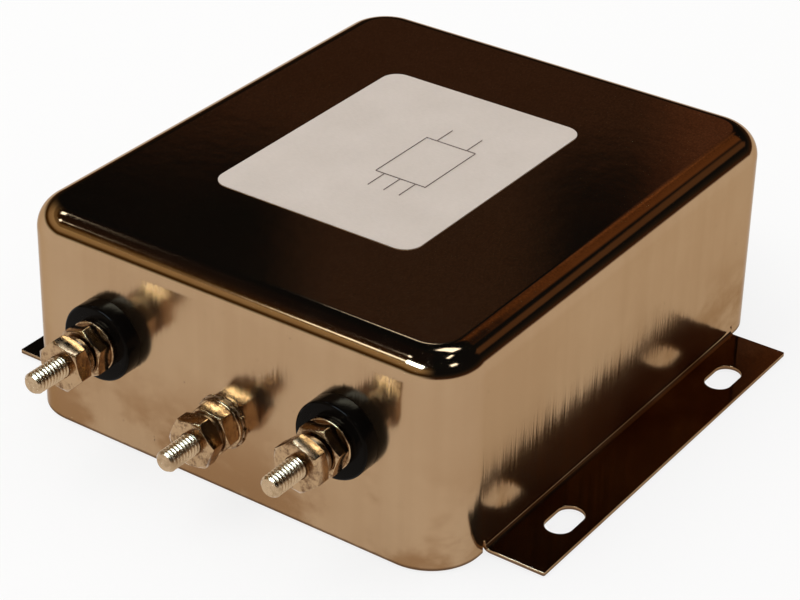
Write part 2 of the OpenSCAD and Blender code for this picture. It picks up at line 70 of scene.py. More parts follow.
def unit(v: np.ndarray) -> np.ndarray:
    """Scales a vector to length one."""
    return v / max(float(np.linalg.norm(v)), 1e-12)


@dataclass
class Form:
    """Vertices in millimetres, faces, and a normal for each vertex if it is known."""

    points: np.ndarray
    faces: list[tuple[int, ...]]
    normals: Optional[np.ndarray] = None

    def moved(self, turn: np.ndarray, shift: Sequence[float]) -> "Form":
        """Returns a copy that is turned by a matrix, then shifted."""
        n = None if self.normals is None else self.normals @ turn.T
        return Form(self.points @ turn.T + np.asarray(shift, float), list(self.faces), n)

    def joined(self, *others: "Form") -> "Form":
        """Puts several shapes into one.

        Args:
            others: The shapes to add.

        Returns:
            One shape that holds them all.
        """
        parts = [self, *others]
        points, faces, start = [], [], 0
        for p in parts:
            points.append(p.points)
            faces += [tuple(i + start for i in f) for f in p.faces]
            start += len(p.points)
        known = all(p.normals is not None for p in parts)
        normals = np.vstack([p.normals for p in parts]) if known else None
        return Form(np.vstack(points), faces, normals)

    def as_object(self, name: str, crease: float = 32.0) -> bpy.types.Object:
        """Makes a Blender object with smooth shading.

        Args:
            name: Name of the object.
            crease: Edges sharper than this angle in degrees stay sharp.

        Returns:
            The object, at the origin, in metres.
        """
        mesh = bpy.data.meshes.new(name)
        mesh.from_pydata((self.points * MM).tolist(), [], self.faces)
        mesh.validate(clean_customdata=False)
        mesh.polygons.foreach_set("use_smooth", [True] * len(mesh.polygons))
        if self.normals is not None and len(mesh.vertices) == len(self.normals):
            mesh.normals_split_custom_set_from_vertices(self.normals.tolist())
        else:
            mesh.set_sharp_from_angle(angle=math.radians(crease))
        mesh.update()
        return in_scene(name, mesh)

    @classmethod
    def taken_from(cls, thing: bpy.types.Object) -> "Form":
        """Reads an object's mesh back and removes the object.

        Args:
            thing: The object, at the origin, in metres.

        Returns:
            Its shape.
        """
        points = np.array([v.co for v in thing.data.vertices]) / MM
        faces = [tuple(f.vertices) for f in thing.data.polygons]
        bpy.data.objects.remove(thing)
        return cls(points, faces)


def in_scene(name: str, data: Optional[bpy.types.ID] = None) -> bpy.types.Object:
    """Adds an object to the scene.

    Args:
        name: Name of the object.
        data: Its mesh, lamp or camera, or None for an empty mesh.

    Returns:
        The object, at the origin.
    """
    thing = bpy.data.objects.new(name, data or bpy.data.meshes.new(name))
    bpy.context.scene.collection.objects.link(thing)
    return thing


class Skin:
    """An open smooth surface, built face by face, that is later given a sheet thickness.

    Points that agree to DECIMALS in millimetres are one point. SHARPEST keeps the offset of
    a very sharp corner of the border within bounds.
    """

    DECIMALS: int = 3
    SHARPEST: float = 0.35

    def __init__(self) -> None:
        """Starts with no points."""
        self.index: dict[tuple[float, ...], int] = {}
        self.points: list[np.ndarray] = []
        self.normals: list[np.ndarray] = []
        self.faces: list[tuple[int, ...]] = []

    def point(self, p: Sequence[float], n: Sequence[float]) -> int:
        """Adds a point, or finds the one that is already there.

        Args:
            p: Place in millimetres.
            n: Surface normal.

        Returns:
            Index of the point.
        """
        key = tuple(np.round(np.asarray(p, float), self.DECIMALS) + 0.0)
        if key not in self.index:
            self.index[key] = len(self.points)
            self.points.append(np.asarray(p, float))
            self.normals.append(unit(np.asarray(n, float)))
        return self.index[key]

    def face(self, corners: Sequence[int]) -> None:
        """Adds a face that looks along its points' normals.

        Args:
            corners: Indices of its points in order.
        """
        ring = [c for k, c in enumerate(corners) if c != corners[k - 1]]
        if len(set(ring)) < 3:
            return
        p = np.array([self.points[c] for c in ring])
        area = sum(np.cross(p[k] - p[0], p[k + 1] - p[0]) for k in range(1, len(p) - 1))
        if float(np.dot(area, sum(self.normals[c] for c in ring))) < 0:
            ring.reverse()
        self.faces.append(tuple(ring))

    def grid(self, rows: Sequence[Sequence[tuple[np.ndarray, np.ndarray]]]) -> None:
        """Adds quads between rows of points.

        Args:
            rows: Rows of (place, normal), all of one length.
        """
        ids = [[self.point(p, n) for p, n in row] for row in rows]
        for a, b in zip(ids, ids[1:]):
            for k in range(len(a) - 1):
                self.face([a[k], a[k + 1], b[k + 1], b[k]])

    def flat(self, loop: Sequence[np.ndarray], holes: Sequence[Sequence[np.ndarray]],
             u: np.ndarray, v: np.ndarray) -> None:
        """Fills a flat outline that may have holes.

        Args:
            loop: Outline points in order.
            holes: Outlines of the holes.
            u: First direction of the plane.
            v: Second direction of the plane; the surface looks along u x v.
        """
        rings = [list(loop), *[list(h) for h in holes]]
        every = [p for ring in rings for p in ring]
        base = every[0]
        flat = [Vector((float(np.dot(p - base, u)), float(np.dot(p - base, v)))) for p in every]
        edges, outlines, start = [], [], 0
        for ring in rings:
            k = len(ring)
            edges += [(start + i, start + (i + 1) % k) for i in range(k)]
            outlines.append(flat[start:start + k])
            start += k
        _, _, tris, origin, _, _ = geometry.delaunay_2d_cdt(flat, edges, [], 0, 1e-7)
        n = np.cross(u, v)
        for tri in tris:
            src = [origin[i][0] for i in tri]
            mid = sum((flat[i] for i in src), Vector((0, 0))) / len(src)
            if inside(mid, outlines[0]) and not any(inside(mid, o) for o in outlines[1:]):
                self.face([self.point(every[i], n) for i in src])

    def thickened(self, sheet: float, rim: float, steps: int = 3) -> Form:
        """Gives the surface a thickness and rounds all its cut edges.

        Args:
            sheet: Thickness, measured away from the normals.
            rim: Rounding radius of the cut edges.
            steps: Faces across each rounding.

        Returns:
            A closed shape.
        """
        p = np.array(self.points)
        n = np.array(self.normals)
        directed = {(f[k - 1], f[k]) for f in self.faces for k in range(len(f))}
        after = {a: b for a, b in directed if (b, a) not in directed}
        before = {b: a for a, b in after.items()}
        out = np.zeros_like(p)
        for i, j in after.items():
            h = before[i]
            b1 = np.cross(unit(p[i] - p[h]), n[i])
            b2 = np.cross(unit(p[j] - p[i]), n[i])
            out[i] = (b1 + b2) / max(1 + float(np.dot(b1, b2)), self.SHARPEST)
        count = len(p)
        outer = p - rim * out
        inner = outer - sheet * n
        points, normals = [outer, inner], [n, -n]
        faces = list(self.faces) + [tuple(i + count for i in reversed(f)) for f in self.faces]
        border = list(after)
        slot = {i: k for k, i in enumerate(border)}
        rings = [np.array(border)]
        total = 2 * count
        flat_out = np.array([unit(out[i]) for i in border])
        turned = [(k / steps, rim) for k in range(1, steps + 1)]
        turned += [(1 + k / steps, sheet - rim) for k in range(steps)]
        for share, depth in turned:
            a = QUARTER * share
            c = outer[border] - depth * n[border]
            points.append(c + rim * (math.cos(a) * n[border] + math.sin(a) * out[border]))
            normals.append(math.cos(a) * n[border] + math.sin(a) * flat_out)
            rings.append(np.arange(total, total + len(border)))
            total += len(border)
        rings.append(np.array(border) + count)
        for a, b in zip(rings, rings[1:]):
            for i, j in after.items():
                s, t = slot[i], slot[j]
                faces.append((int(a[t]), int(a[s]), int(b[s]), int(b[t])))
        normals = np.vstack(normals)
        normals /= np.linalg.norm(normals, axis=1)[:, None]
        return Form(np.vstack(points), faces, normals)


def inside(p: Vector, ring: Sequence[Vector]) -> bool:
    """Tells whether a flat point lies in an outline.

    Args:
        p: The point.
        ring: The outline.

    Returns:
        True if it is inside.
    """
    odd = False
    for a, b in zip(ring, [*ring[1:], ring[0]]):
        if (a.y > p.y) != (b.y > p.y) and p.x < (b.x - a.x) * (p.y - a.y) / (b.y - a.y) + a.x:
            odd = not odd
    return odd


def lathe(profile: Sequence[Pair], steps: int = 64) -> Form:
    """Turns a profile round the z axis.

    Args:
        profile: Points (radius, z) that run anticlockwise when radius points right; the
            profile is closed, or starts and ends on the axis.
        steps: Faces round the turn.

    Returns:
        A closed shape.
    """
    capped = profile[0][0] < ON_AXIS
    points: list[tuple[float, float, float]] = []
    rows: list[list[int]] = []
    for r, z in profile:
        if r < ON_AXIS:
            rows.append([len(points)] * steps)
            points.append((0.0, 0.0, z))
        else:
            rows.append(list(range(len(points), len(points) + steps)))
            for k in range(steps):
                a = 2 * math.pi * k / steps
                points.append((r * math.cos(a), r * math.sin(a), z))
    faces = []
    pairs = list(zip(rows, rows[1:])) + ([] if capped else [(rows[-1], rows[0])])
    for a, b in pairs:
        for k in range(steps):
            m = (k + 1) % steps
            ring = [a[k], a[m], b[m], b[k]]
            ring = [c for i, c in enumerate(ring) if c != ring[i - 1]]
            if len(set(ring)) > 2:
                faces.append(tuple(ring))
    return Form(np.array(points), faces)


def rounded(corners: Sequence[Pair], radii: Sequence[float], steps: int = 3) -> list[Pair]:
    """Rounds the corners of a closed profile.

    Args:
        corners: Corner points.
        radii: Rounding radius of each corner; 0 keeps it sharp.
        steps: Faces across each rounding.

    Returns:
        The profile with its arcs.
    """
    made: list[Pair] = []
    count = len(corners)
    for k, (c, r) in enumerate(zip(corners, radii)):
        p = np.array(c, float)
        if r <= 0:
            made.append((float(p[0]), float(p[1])))
            continue
        u = unit(np.array(corners[k - 1], float) - p)
        v = unit(np.array(corners[(k + 1) % count], float) - p)
        half = math.acos(max(-1.0, min(1.0, float(np.dot(u, v))))) / 2
        reach = r / math.tan(half)
        centre = p + unit(u + v) * r / math.sin(half)
        a, b = p + u * reach - centre, p + v * reach - centre
        for i in range(steps + 1):
            d = unit(a * (1 - i / steps) + b * (i / steps)) * r
            made.append((float(centre[0] + d[0]), float(centre[1] + d[1])))
    return made


def bands(rows: int, count: int, wrap: bool) -> list[tuple[int, ...]]:
    """Makes the faces between rings of points.

    Args:
        rows: Number of rings, whose points follow each other.
        count: Points in each ring.
        wrap: Whether the last ring also joins the first.

    Returns:
        The faces.
    """
    faces: list[tuple[int, ...]] = []
    for row in range(rows if wrap else rows - 1):
        low, high = row * count, (row + 1) % rows * count
        for k in range(count):
            m = (k + 1) % count
            faces.append((low + k, low + m, high + m, high + k))
    return faces


def hexagon(flats: float, corner: float, per_flat: int = 4, per_corner: int = 4) -> list[Pair]:
    """Outline of a hexagon with slightly rounded corners.

    Args:
        flats: Width across the flats.
        corner: Rounding radius of the corners.
        per_flat: Faces along a flat.
        per_corner: Faces round a corner.

    Returns:
        Outline points, anticlockwise, first corner at angle 0.
    """
    def heading(a: float) -> np.ndarray:
        """Flat direction at an angle."""
        return np.array([math.cos(a), math.sin(a)])

    ring: list[np.ndarray] = []
    reach = (flats / 2 - corner) / math.cos(SIXTH / 2)
    for k in range(6):
        here, following = k * SIXTH, k * SIXTH + SIXTH
        ring += [heading(here) * reach + corner * heading(here + (i / per_corner - 0.5) * SIXTH)
                 for i in range(per_corner + 1)]
        start = ring[-1]
        end = heading(following) * reach + corner * heading(following - SIXTH / 2)
        ring += [start + (end - start) * i / per_flat for i in range(1, per_flat)]
    return [(float(q[0]), float(q[1])) for q in ring]


def hex_body(flats: float, height: float, chamfer: float, bore: float = 0.0, sink: float = 0.3,
             corner: float = 0.22, middle: float = 0.6, least: float = 0.02) -> Form:
    """Hexagon nut, or a plain hexagon head when it has no bore.

    Args:
        flats: Width across the flats.
        height: Height.
        chamfer: Axial depth of the chamfer at the corners.
        bore: Bore diameter, or 0.
        sink: Countersink of the bore.
        corner: Rounding radius of the upright corners.
        middle: Radius of the small round face in the middle of a head.
        least: Least drop from a face to the flats, inside the chamfer's circle.

    Returns:
        A closed shape that stands on z = 0.
    """
    ring = hexagon(flats, corner)
    face = flats / math.sqrt(3) - chamfer * math.sqrt(3)
    radii = [math.hypot(x, y) for x, y in ring]
    drops = [max(h - face, least) / math.sqrt(3) for h in radii]

    def circle(r: float, z: float) -> list[Triple]:
        """Row of points on a circle, one for each point of the outline."""
        return [(x * (r / h), y * (r / h), z) for (x, y), h in zip(ring, radii)]

    def side(top: bool) -> list[Triple]:
        """Row of points where the upper or lower chamfer meets the flats."""
        return [(x, y, height - d if top else d) for (x, y), d in zip(ring, drops)]

    if bore:
        b = bore / 2
        rows = [circle(b, sink), circle(b + sink, 0), circle(face, 0), side(False), side(True),
                circle(face, height), circle(b + sink, height), circle(b, height - sink)]
    else:
        rows = [circle(middle, 0), circle(face, 0), side(False), side(True),
                circle(face, height), circle(middle, height)]
    count = len(ring)
    points = [p for row in rows for p in row]
    faces = bands(len(rows), count, bool(bore))
    if not bore:
        faces.append(tuple(reversed(range(count))))
        faces.append(tuple(range((len(rows) - 1) * count, len(rows) * count)))
    return Form(np.array(points), faces)


def swept_ring(section: Sequence[Pair], path: Callable[[float], tuple[np.ndarray, np.ndarray]],
               steps: int) -> Form:
    """Carries a section along part of a turn and closes both ends.

    Args:
        section: Points (outward, up) of the section, anticlockwise.
        path: Gives the centre and the outward direction for a share from 0 to 1.
        steps: Faces along the path.

    Returns:
        A closed shape.
    """
    rows = []
    for i in range(steps + 1):
        c, out = path(i / steps)
        rows.append([c + out * a + np.array([0, 0, b]) for a, b in section])
    m = len(section)
    faces: list[tuple[int, ...]] = [tuple(range(m)), tuple(reversed(range(steps * m, steps * m + m)))]
    for i in range(steps):
        for k in range(m):
            n = (k + 1) % m
            faces.append((i * m + k, (i + 1) * m + k, (i + 1) * m + n, i * m + n))
    return Form(np.array([p for row in rows for p in row]), faces)


def soft_box(size: Sequence[float], edge: float, steps: int = 3) -> Form:
    """Box with all edges and corners rounded.

    Args:
        size: Length, width and height.
        edge: Rounding radius.
        steps: Faces across each rounding.

    Returns:
        A closed shape centred on the origin.
    """
    sx, sy, sz = (s / 2 - edge for s in size)
    skin = Skin()
    angles = [math.pi / 2 * k / steps for k in range(steps + 1)]
    rows = []
    for end in (-1, 1):
        order = reversed(angles) if end < 0 else angles
        for lift in order:
            row = []
            for q, (cx, cy) in enumerate([(1, 1), (-1, 1), (-1, -1), (1, -1)]):
                for a in angles:
                    t = q * math.pi / 2 + a
                    n = np.array([math.cos(lift) * math.cos(t), math.cos(lift) * math.sin(t),
                                  end * math.sin(lift)])
                    row.append((np.array([cx * sx, cy * sy, end * sz]) + edge * n, n))
            row.append(row[0])
            rows.append(row)
    skin.grid(rows)
    for end in (-1, 1):
        z = end * size[2] / 2
        cap = [np.array([a * sx, b * sy, z]) for a, b in ((1, 1), (-1, 1), (-1, -1), (1, -1))]
        skin.face([skin.point(c, (0, 0, end)) for c in cap])
    return Form(np.array(skin.points), skin.faces, np.array(skin.normals))


# ---------------------------------------------------------------- node graphs

MIX_INPUTS = (0, 6, 7)
MIX_RESULT = 2


class Graph:
    """Short calls for building a shader, world or geometry tree."""

    def __init__(self, tree: bpy.types.NodeTree) -> None:
        """Keeps the tree that the calls add to."""
        self.tree = tree

    def add(self, kind: str, inputs: Optional[dict] = None, **settings: object) -> bpy.types.Node:
        """Adds a node.

        Args:
            kind: Node type.
            inputs: Values or sockets for inputs, by name or position.
            settings: Node properties.

        Returns:
            The node.
        """
        node = self.tree.nodes.new(kind)
        for key, value in settings.items():
            setattr(node, key, value)
        for key, value in (inputs or {}).items():
            self.put(node.inputs[key], value)
        return node

    def put(self, socket: bpy.types.NodeSocket, value: object) -> None:
        """Links a socket or sets its value.

        Args:
            socket: The input.
            value: The output that feeds it, or a plain value.
        """
        if isinstance(value, bpy.types.NodeSocket):
            self.tree.links.new(value, socket)
        else:
            socket.default_value = value

    def math(self, operation: str, *values: object, clamp: bool = False) -> bpy.types.NodeSocket:
        """Adds a Math node.

        Args:
            operation: What it does.
            values: Its inputs.
            clamp: Whether the result stays between 0 and 1.

        Returns:
            Its result.
        """
        node = self.add("ShaderNodeMath", dict(enumerate(values)), operation=operation)
        node.use_clamp = clamp
        return node.outputs[0]

    def pooled(self, first: bpy.types.NodeSocket, second: bpy.types.NodeSocket,
               share: float) -> bpy.types.NodeSocket:
        """Adds two patterns, the first with this share and the second with the rest."""
        rest = self.math("MULTIPLY", second, 1 - share)
        return self.math("ADD", self.math("MULTIPLY", first, share), rest)

    def vector(self, operation: str, *values: object) -> bpy.types.Node:
        """Adds a Vector Math node and returns it."""
        return self.add("ShaderNodeVectorMath", dict(enumerate(values)), operation=operation)

    def parts(self, vector: bpy.types.NodeSocket) -> Sequence[bpy.types.NodeSocket]:
        """Splits a vector into x, y and z."""
        return self.add("ShaderNodeSeparateXYZ", {0: vector}).outputs

    def xyz(self, x: object, y: object, z: object) -> bpy.types.NodeSocket:
        """Joins x, y and z into a vector."""
        return self.add("ShaderNodeCombineXYZ", {0: x, 1: y, 2: z}).outputs[0]

    def mixed(self, factor: bpy.types.NodeSocket, a: object, b: object) -> bpy.types.NodeSocket:
        """Blends two colours.

        Args:
            factor: 0 gives the first, 1 the second.
            a: First colour or socket.
            b: Second colour or socket.

        Returns:
            The blended colour.
        """
        node = self.add("ShaderNodeMix", data_type="RGBA")
        ends = [(*c, 1) if isinstance(c, tuple) else c for c in (a, b)]
        for socket, value in zip(MIX_INPUTS, (factor, *ends)):
            self.put(node.inputs[socket], value)
        return node.outputs[MIX_RESULT]

    def remap(self, value: object, lo: float, hi: float, a: float, b: float,
              smooth: bool = False) -> bpy.types.NodeSocket:
        """Maps a range of values to another range.

        Args:
            value: Input socket.
            lo: Start of the input range.
            hi: End of the input range.
            a: Result at the start.
            b: Result at the end.
            smooth: Whether the change eases in and out.

        Returns:
            The mapped value.
        """
        node = self.add("ShaderNodeMapRange", {0: value, 1: lo, 2: hi, 3: a, 4: b})
        node.interpolation_type = "SMOOTHSTEP" if smooth else "LINEAR"
        return node.outputs[0]


class ShapeTree(Graph):
    """A geometry tree with named size inputs, run once on an object and baked."""

    def __init__(self, name: str) -> None:
        """Makes an empty geometry tree with one geometry input and output.

        Args:
            name: Name of the tree.
        """
        super().__init__(bpy.data.node_groups.new(name, "GeometryNodeTree"))
        face = self.tree.interface
        face.new_socket("Geometry", in_out="INPUT", socket_type="NodeSocketGeometry")
        face.new_socket("Geometry", in_out="OUTPUT", socket_type="NodeSocketGeometry")
        self.entry = self.tree.nodes.new("NodeGroupInput")
        self.exit = self.tree.nodes.new("NodeGroupOutput")
        self.sizes: dict[str, str] = {}

    def size(self, name: str, kind: str = "NodeSocketFloat") -> bpy.types.NodeSocket:
        """Adds a named input.

        Args:
            name: Name of the input.
            kind: Socket type.

        Returns:
            The socket inside the tree.
        """
        made = self.tree.interface.new_socket(name, in_out="INPUT", socket_type=kind)
        self.sizes[name] = made.identifier
        return next(s for s in self.entry.outputs if s.identifier == made.identifier)

    def close(self, shape: bpy.types.NodeSocket, finish: object) -> None:
        """Ends the tree in Realize Instances and Set Material.

        Args:
            shape: Last geometry socket.
            finish: Material of the result, or the input that names it.
        """
        real = self.add("GeometryNodeRealizeInstances", {0: shape})
        dress = self.add("GeometryNodeSetMaterial", {"Geometry": real.outputs[0], "Material": finish})
        self.tree.links.new(dress.outputs[0], self.exit.inputs[0])

    def carry(self, section: bpy.types.Node, path: bpy.types.NodeSocket, finish: object) -> None:
        """Carries a section along a path of edges, closes the ends and ends the tree.

        Args:
            section: Node that makes the section's curve.
            path: Geometry socket of the edges.
            finish: Material of the result.
        """
        curve = self.add("GeometryNodeMeshToCurve", {0: path})
        swept = self.add("GeometryNodeCurveToMesh", {
            "Curve": curve.outputs[0], "Profile Curve": section.outputs[0], "Fill Caps": True})
        self.close(swept.outputs[0], finish)

    def run(self, thing: bpy.types.Object, values: dict[str, object],
            crease: float = 32.0) -> bpy.types.Object:
        """Runs the tree on an object and keeps the result as a plain mesh.

        Args:
            thing: The object that carries the modifier.
            values: Values of the named inputs.
            crease: Edges sharper than this angle in degrees stay sharp.

        Returns:
            The same object with its new mesh and no modifier.
        """
        modifier = thing.modifiers.new("shape", "NODES")
        modifier.node_group = self.tree
        for name, value in values.items():
            modifier[self.sizes[name]] = value
        return bake(thing, crease)


def bake(thing: bpy.types.Object, crease: float = 32.0) -> bpy.types.Object:
    """Turns an object's modifiers into its mesh.

    Args:
        thing: The object.
        crease: Edges sharper than this angle in degrees stay sharp.

    Returns:
        The same object, without modifiers.
    """
    bpy.context.view_layer.update()
    graph = bpy.context.evaluated_depsgraph_get()
    mesh = bpy.data.meshes.new_from_object(thing.evaluated_get(graph), depsgraph=graph)
    thing.modifiers.clear()
    thing.data = mesh
    mesh.name = thing.name
    mesh.polygons.foreach_set("use_smooth", [True] * len(mesh.polygons))
    mesh.set_sharp_from_angle(angle=math.radians(crease))
    return thing


def softened(form: Form, width: float, angle: float = 24.0) -> Form:
    """Rounds a shape's sharp edges.

    Args:
        form: The shape.
        width: Width of the rounding in millimetres.
        angle: Edges sharper than this angle in degrees are rounded.

    Returns:
        The rounded shape.
    """
    thing = form.as_object("blank")
    bevel = thing.modifiers.new("edges", "BEVEL")
    bevel.width, bevel.segments, bevel.limit_method = width * MM, 2, "ANGLE"
    bevel.angle_limit = math.radians(angle)
    bevel.use_clamp_overlap = True
    return Form.taken_from(bake(thing))


# ---------------------------------------------------------------- finishes

class Shader(Graph):
    """A surface material and the calls that build it."""

    def __init__(self, name: str, base: Colour, metallic: float, roughness: float,
                 specular: float = 0.5, sheen: Colour = (1.0, 1.0, 1.0)) -> None:
        """Starts a material.

        Args:
            name: Name of the material.
            base: Base colour, linear.
            metallic: 1 for bare metal.
            roughness: Roughness where nothing else sets it.
            specular: Strength of the gloss on a surface that isn't metal.
            sheen: Tint of the gloss; on bare metal, of its glancing reflections.
        """
        self.material = bpy.data.materials.new(name)
        self.material.use_nodes = True
        self.material.diffuse_color = (*base, 1)
        super().__init__(self.material.node_tree)
        self.tree.nodes.clear()
        self.surface = self.add("ShaderNodeBsdfPrincipled", {
            "Base Color": (*base, 1), "Metallic": metallic, "Roughness": roughness,
            "Specular IOR Level": specular, "Specular Tint": (*sheen, 1)})
        self.add("ShaderNodeOutputMaterial", {0: self.surface.outputs[0]})
        self.coords = self.add("ShaderNodeTexCoord").outputs["Object"]

    def noise(self, scale: float, detail: float = 3.0, roughness: float = 0.5,
              vector: Optional[bpy.types.NodeSocket] = None) -> bpy.types.NodeSocket:
        """Adds a noise pattern.

        Args:
            scale: Pattern repeats per metre.
            detail: Number of finer layers.
            roughness: Strength of the finer layers.
            vector: Coordinates, or None for object coordinates.

        Returns:
            Noise value around 0.5.
        """
        return self.add("ShaderNodeTexNoise", {
            "Vector": vector or self.coords, "Scale": scale, "Detail": detail,
            "Roughness": roughness}).outputs[0]

    def streaks(self, scale: Triple, detail: float, roughness: float) -> bpy.types.NodeSocket:
        """Adds a noise pattern with its own repeats per metre along x, y and z."""
        stretched = self.add("ShaderNodeMapping", {"Vector": self.coords, "Scale": scale})
        return self.noise(1.0, detail, roughness, stretched.outputs[0])

    def colour(self, socket: bpy.types.NodeSocket) -> None:
        """Sets where the base colour comes from."""
        self.put(self.surface.inputs["Base Color"], socket)

    def roughness(self, socket: bpy.types.NodeSocket) -> None:
        """Sets where the roughness comes from."""
        self.put(self.surface.inputs["Roughness"], socket)

    def bumps(self, *layers: tuple[bpy.types.NodeSocket, float, float],
              lean: Optional[bpy.types.NodeSocket] = None) -> None:
        """Adds surface relief.

        Args:
            layers: Height pattern, depth in millimetres, and strength of each layer.
            lean: How far the surface leans upwards, as a slope, or None.
        """
        normal = None
        for height, depth, strength in layers:
            node = self.add("ShaderNodeBump", {
                "Height": height, "Distance": depth * MM, "Strength": strength})
            if normal:
                self.put(node.inputs["Normal"], normal)
            normal = node.outputs[0]
        if lean:
            tipped = self.vector("ADD", normal, self.xyz(0.0, 0.0, lean)).outputs[0]
            normal = self.vector("NORMALIZE", tipped).outputs[0]
        self.put(self.surface.inputs["Normal"], normal)


class Dressing:
    """A finish that is made into one material, whatever the number of pieces that wear it."""

    name: str

    def shader(self) -> Shader:
        """Builds the material's nodes; each finish has its own."""
        raise NotImplementedError

    def made(self) -> bpy.types.Material:
        """Gives the material, and makes it the first time."""
        return bpy.data.materials.get(self.name) or self.shader().material


class Grain(Enum):
    """Kinds of fine surface pattern: detail, roughness and stretch along x, y and z."""

    EVEN = (4, 0.6, None)
    TURNED = (2, 0.6, (2.2, 0.5, 0.5))
    FIBRE = (5, 0.7, (1.0, 0.45, 1.0))
    MOULDED = (2, 0.5, None)

    def pattern(self, s: Shader, size: float) -> bpy.types.NodeSocket:
        """Adds the pattern to a material.

        Args:
            s: The material.
            size: Size of one grain in millimetres.

        Returns:
            Noise value around 0.5.
        """
        detail, roughness, stretch = self.value
        per_metre = 1 / (size * MM)
        if stretch is None:
            return s.noise(per_metre, detail, roughness)
        return s.streaks(tuple(per_metre * share for share in stretch), detail, roughness)


@dataclass(frozen=True)
class Finish(Dressing):
    """A plain finish: two colours, a roughness range and a fine grain."""

    name: str
    base: Colour
    shade: Colour
    metallic: float = 0.0
    smooth: float = 0.3
    rough: float = 0.45
    grain: Grain = Grain.EVEN
    grain_size: float = 0.4
    depth: float = 0.01
    specular: float = 0.5
    sheen: Colour = (1.0, 1.0, 1.0)
    cloud_scale: float = 60.0
    relief: float = 0.6

    def shader(self) -> Shader:
        """Builds the finish from soft clouds and its grain.

        Returns:
            The shader.
        """
        s = Shader(self.name, self.base, self.metallic, self.rough, self.specular, self.sheen)
        clouds = s.noise(self.cloud_scale, 4, 0.6)
        fine = self.grain.pattern(s, self.grain_size)
        tone = s.pooled(clouds, fine, 0.6)
        s.colour(s.mixed(s.remap(tone, 0.32, 0.68, 0, 1), self.base, self.shade))
        s.roughness(s.remap(s.pooled(clouds, fine, 0.5), 0.3, 0.7, self.smooth, self.rough))
        s.bumps((fine, self.depth, self.relief))
        return s


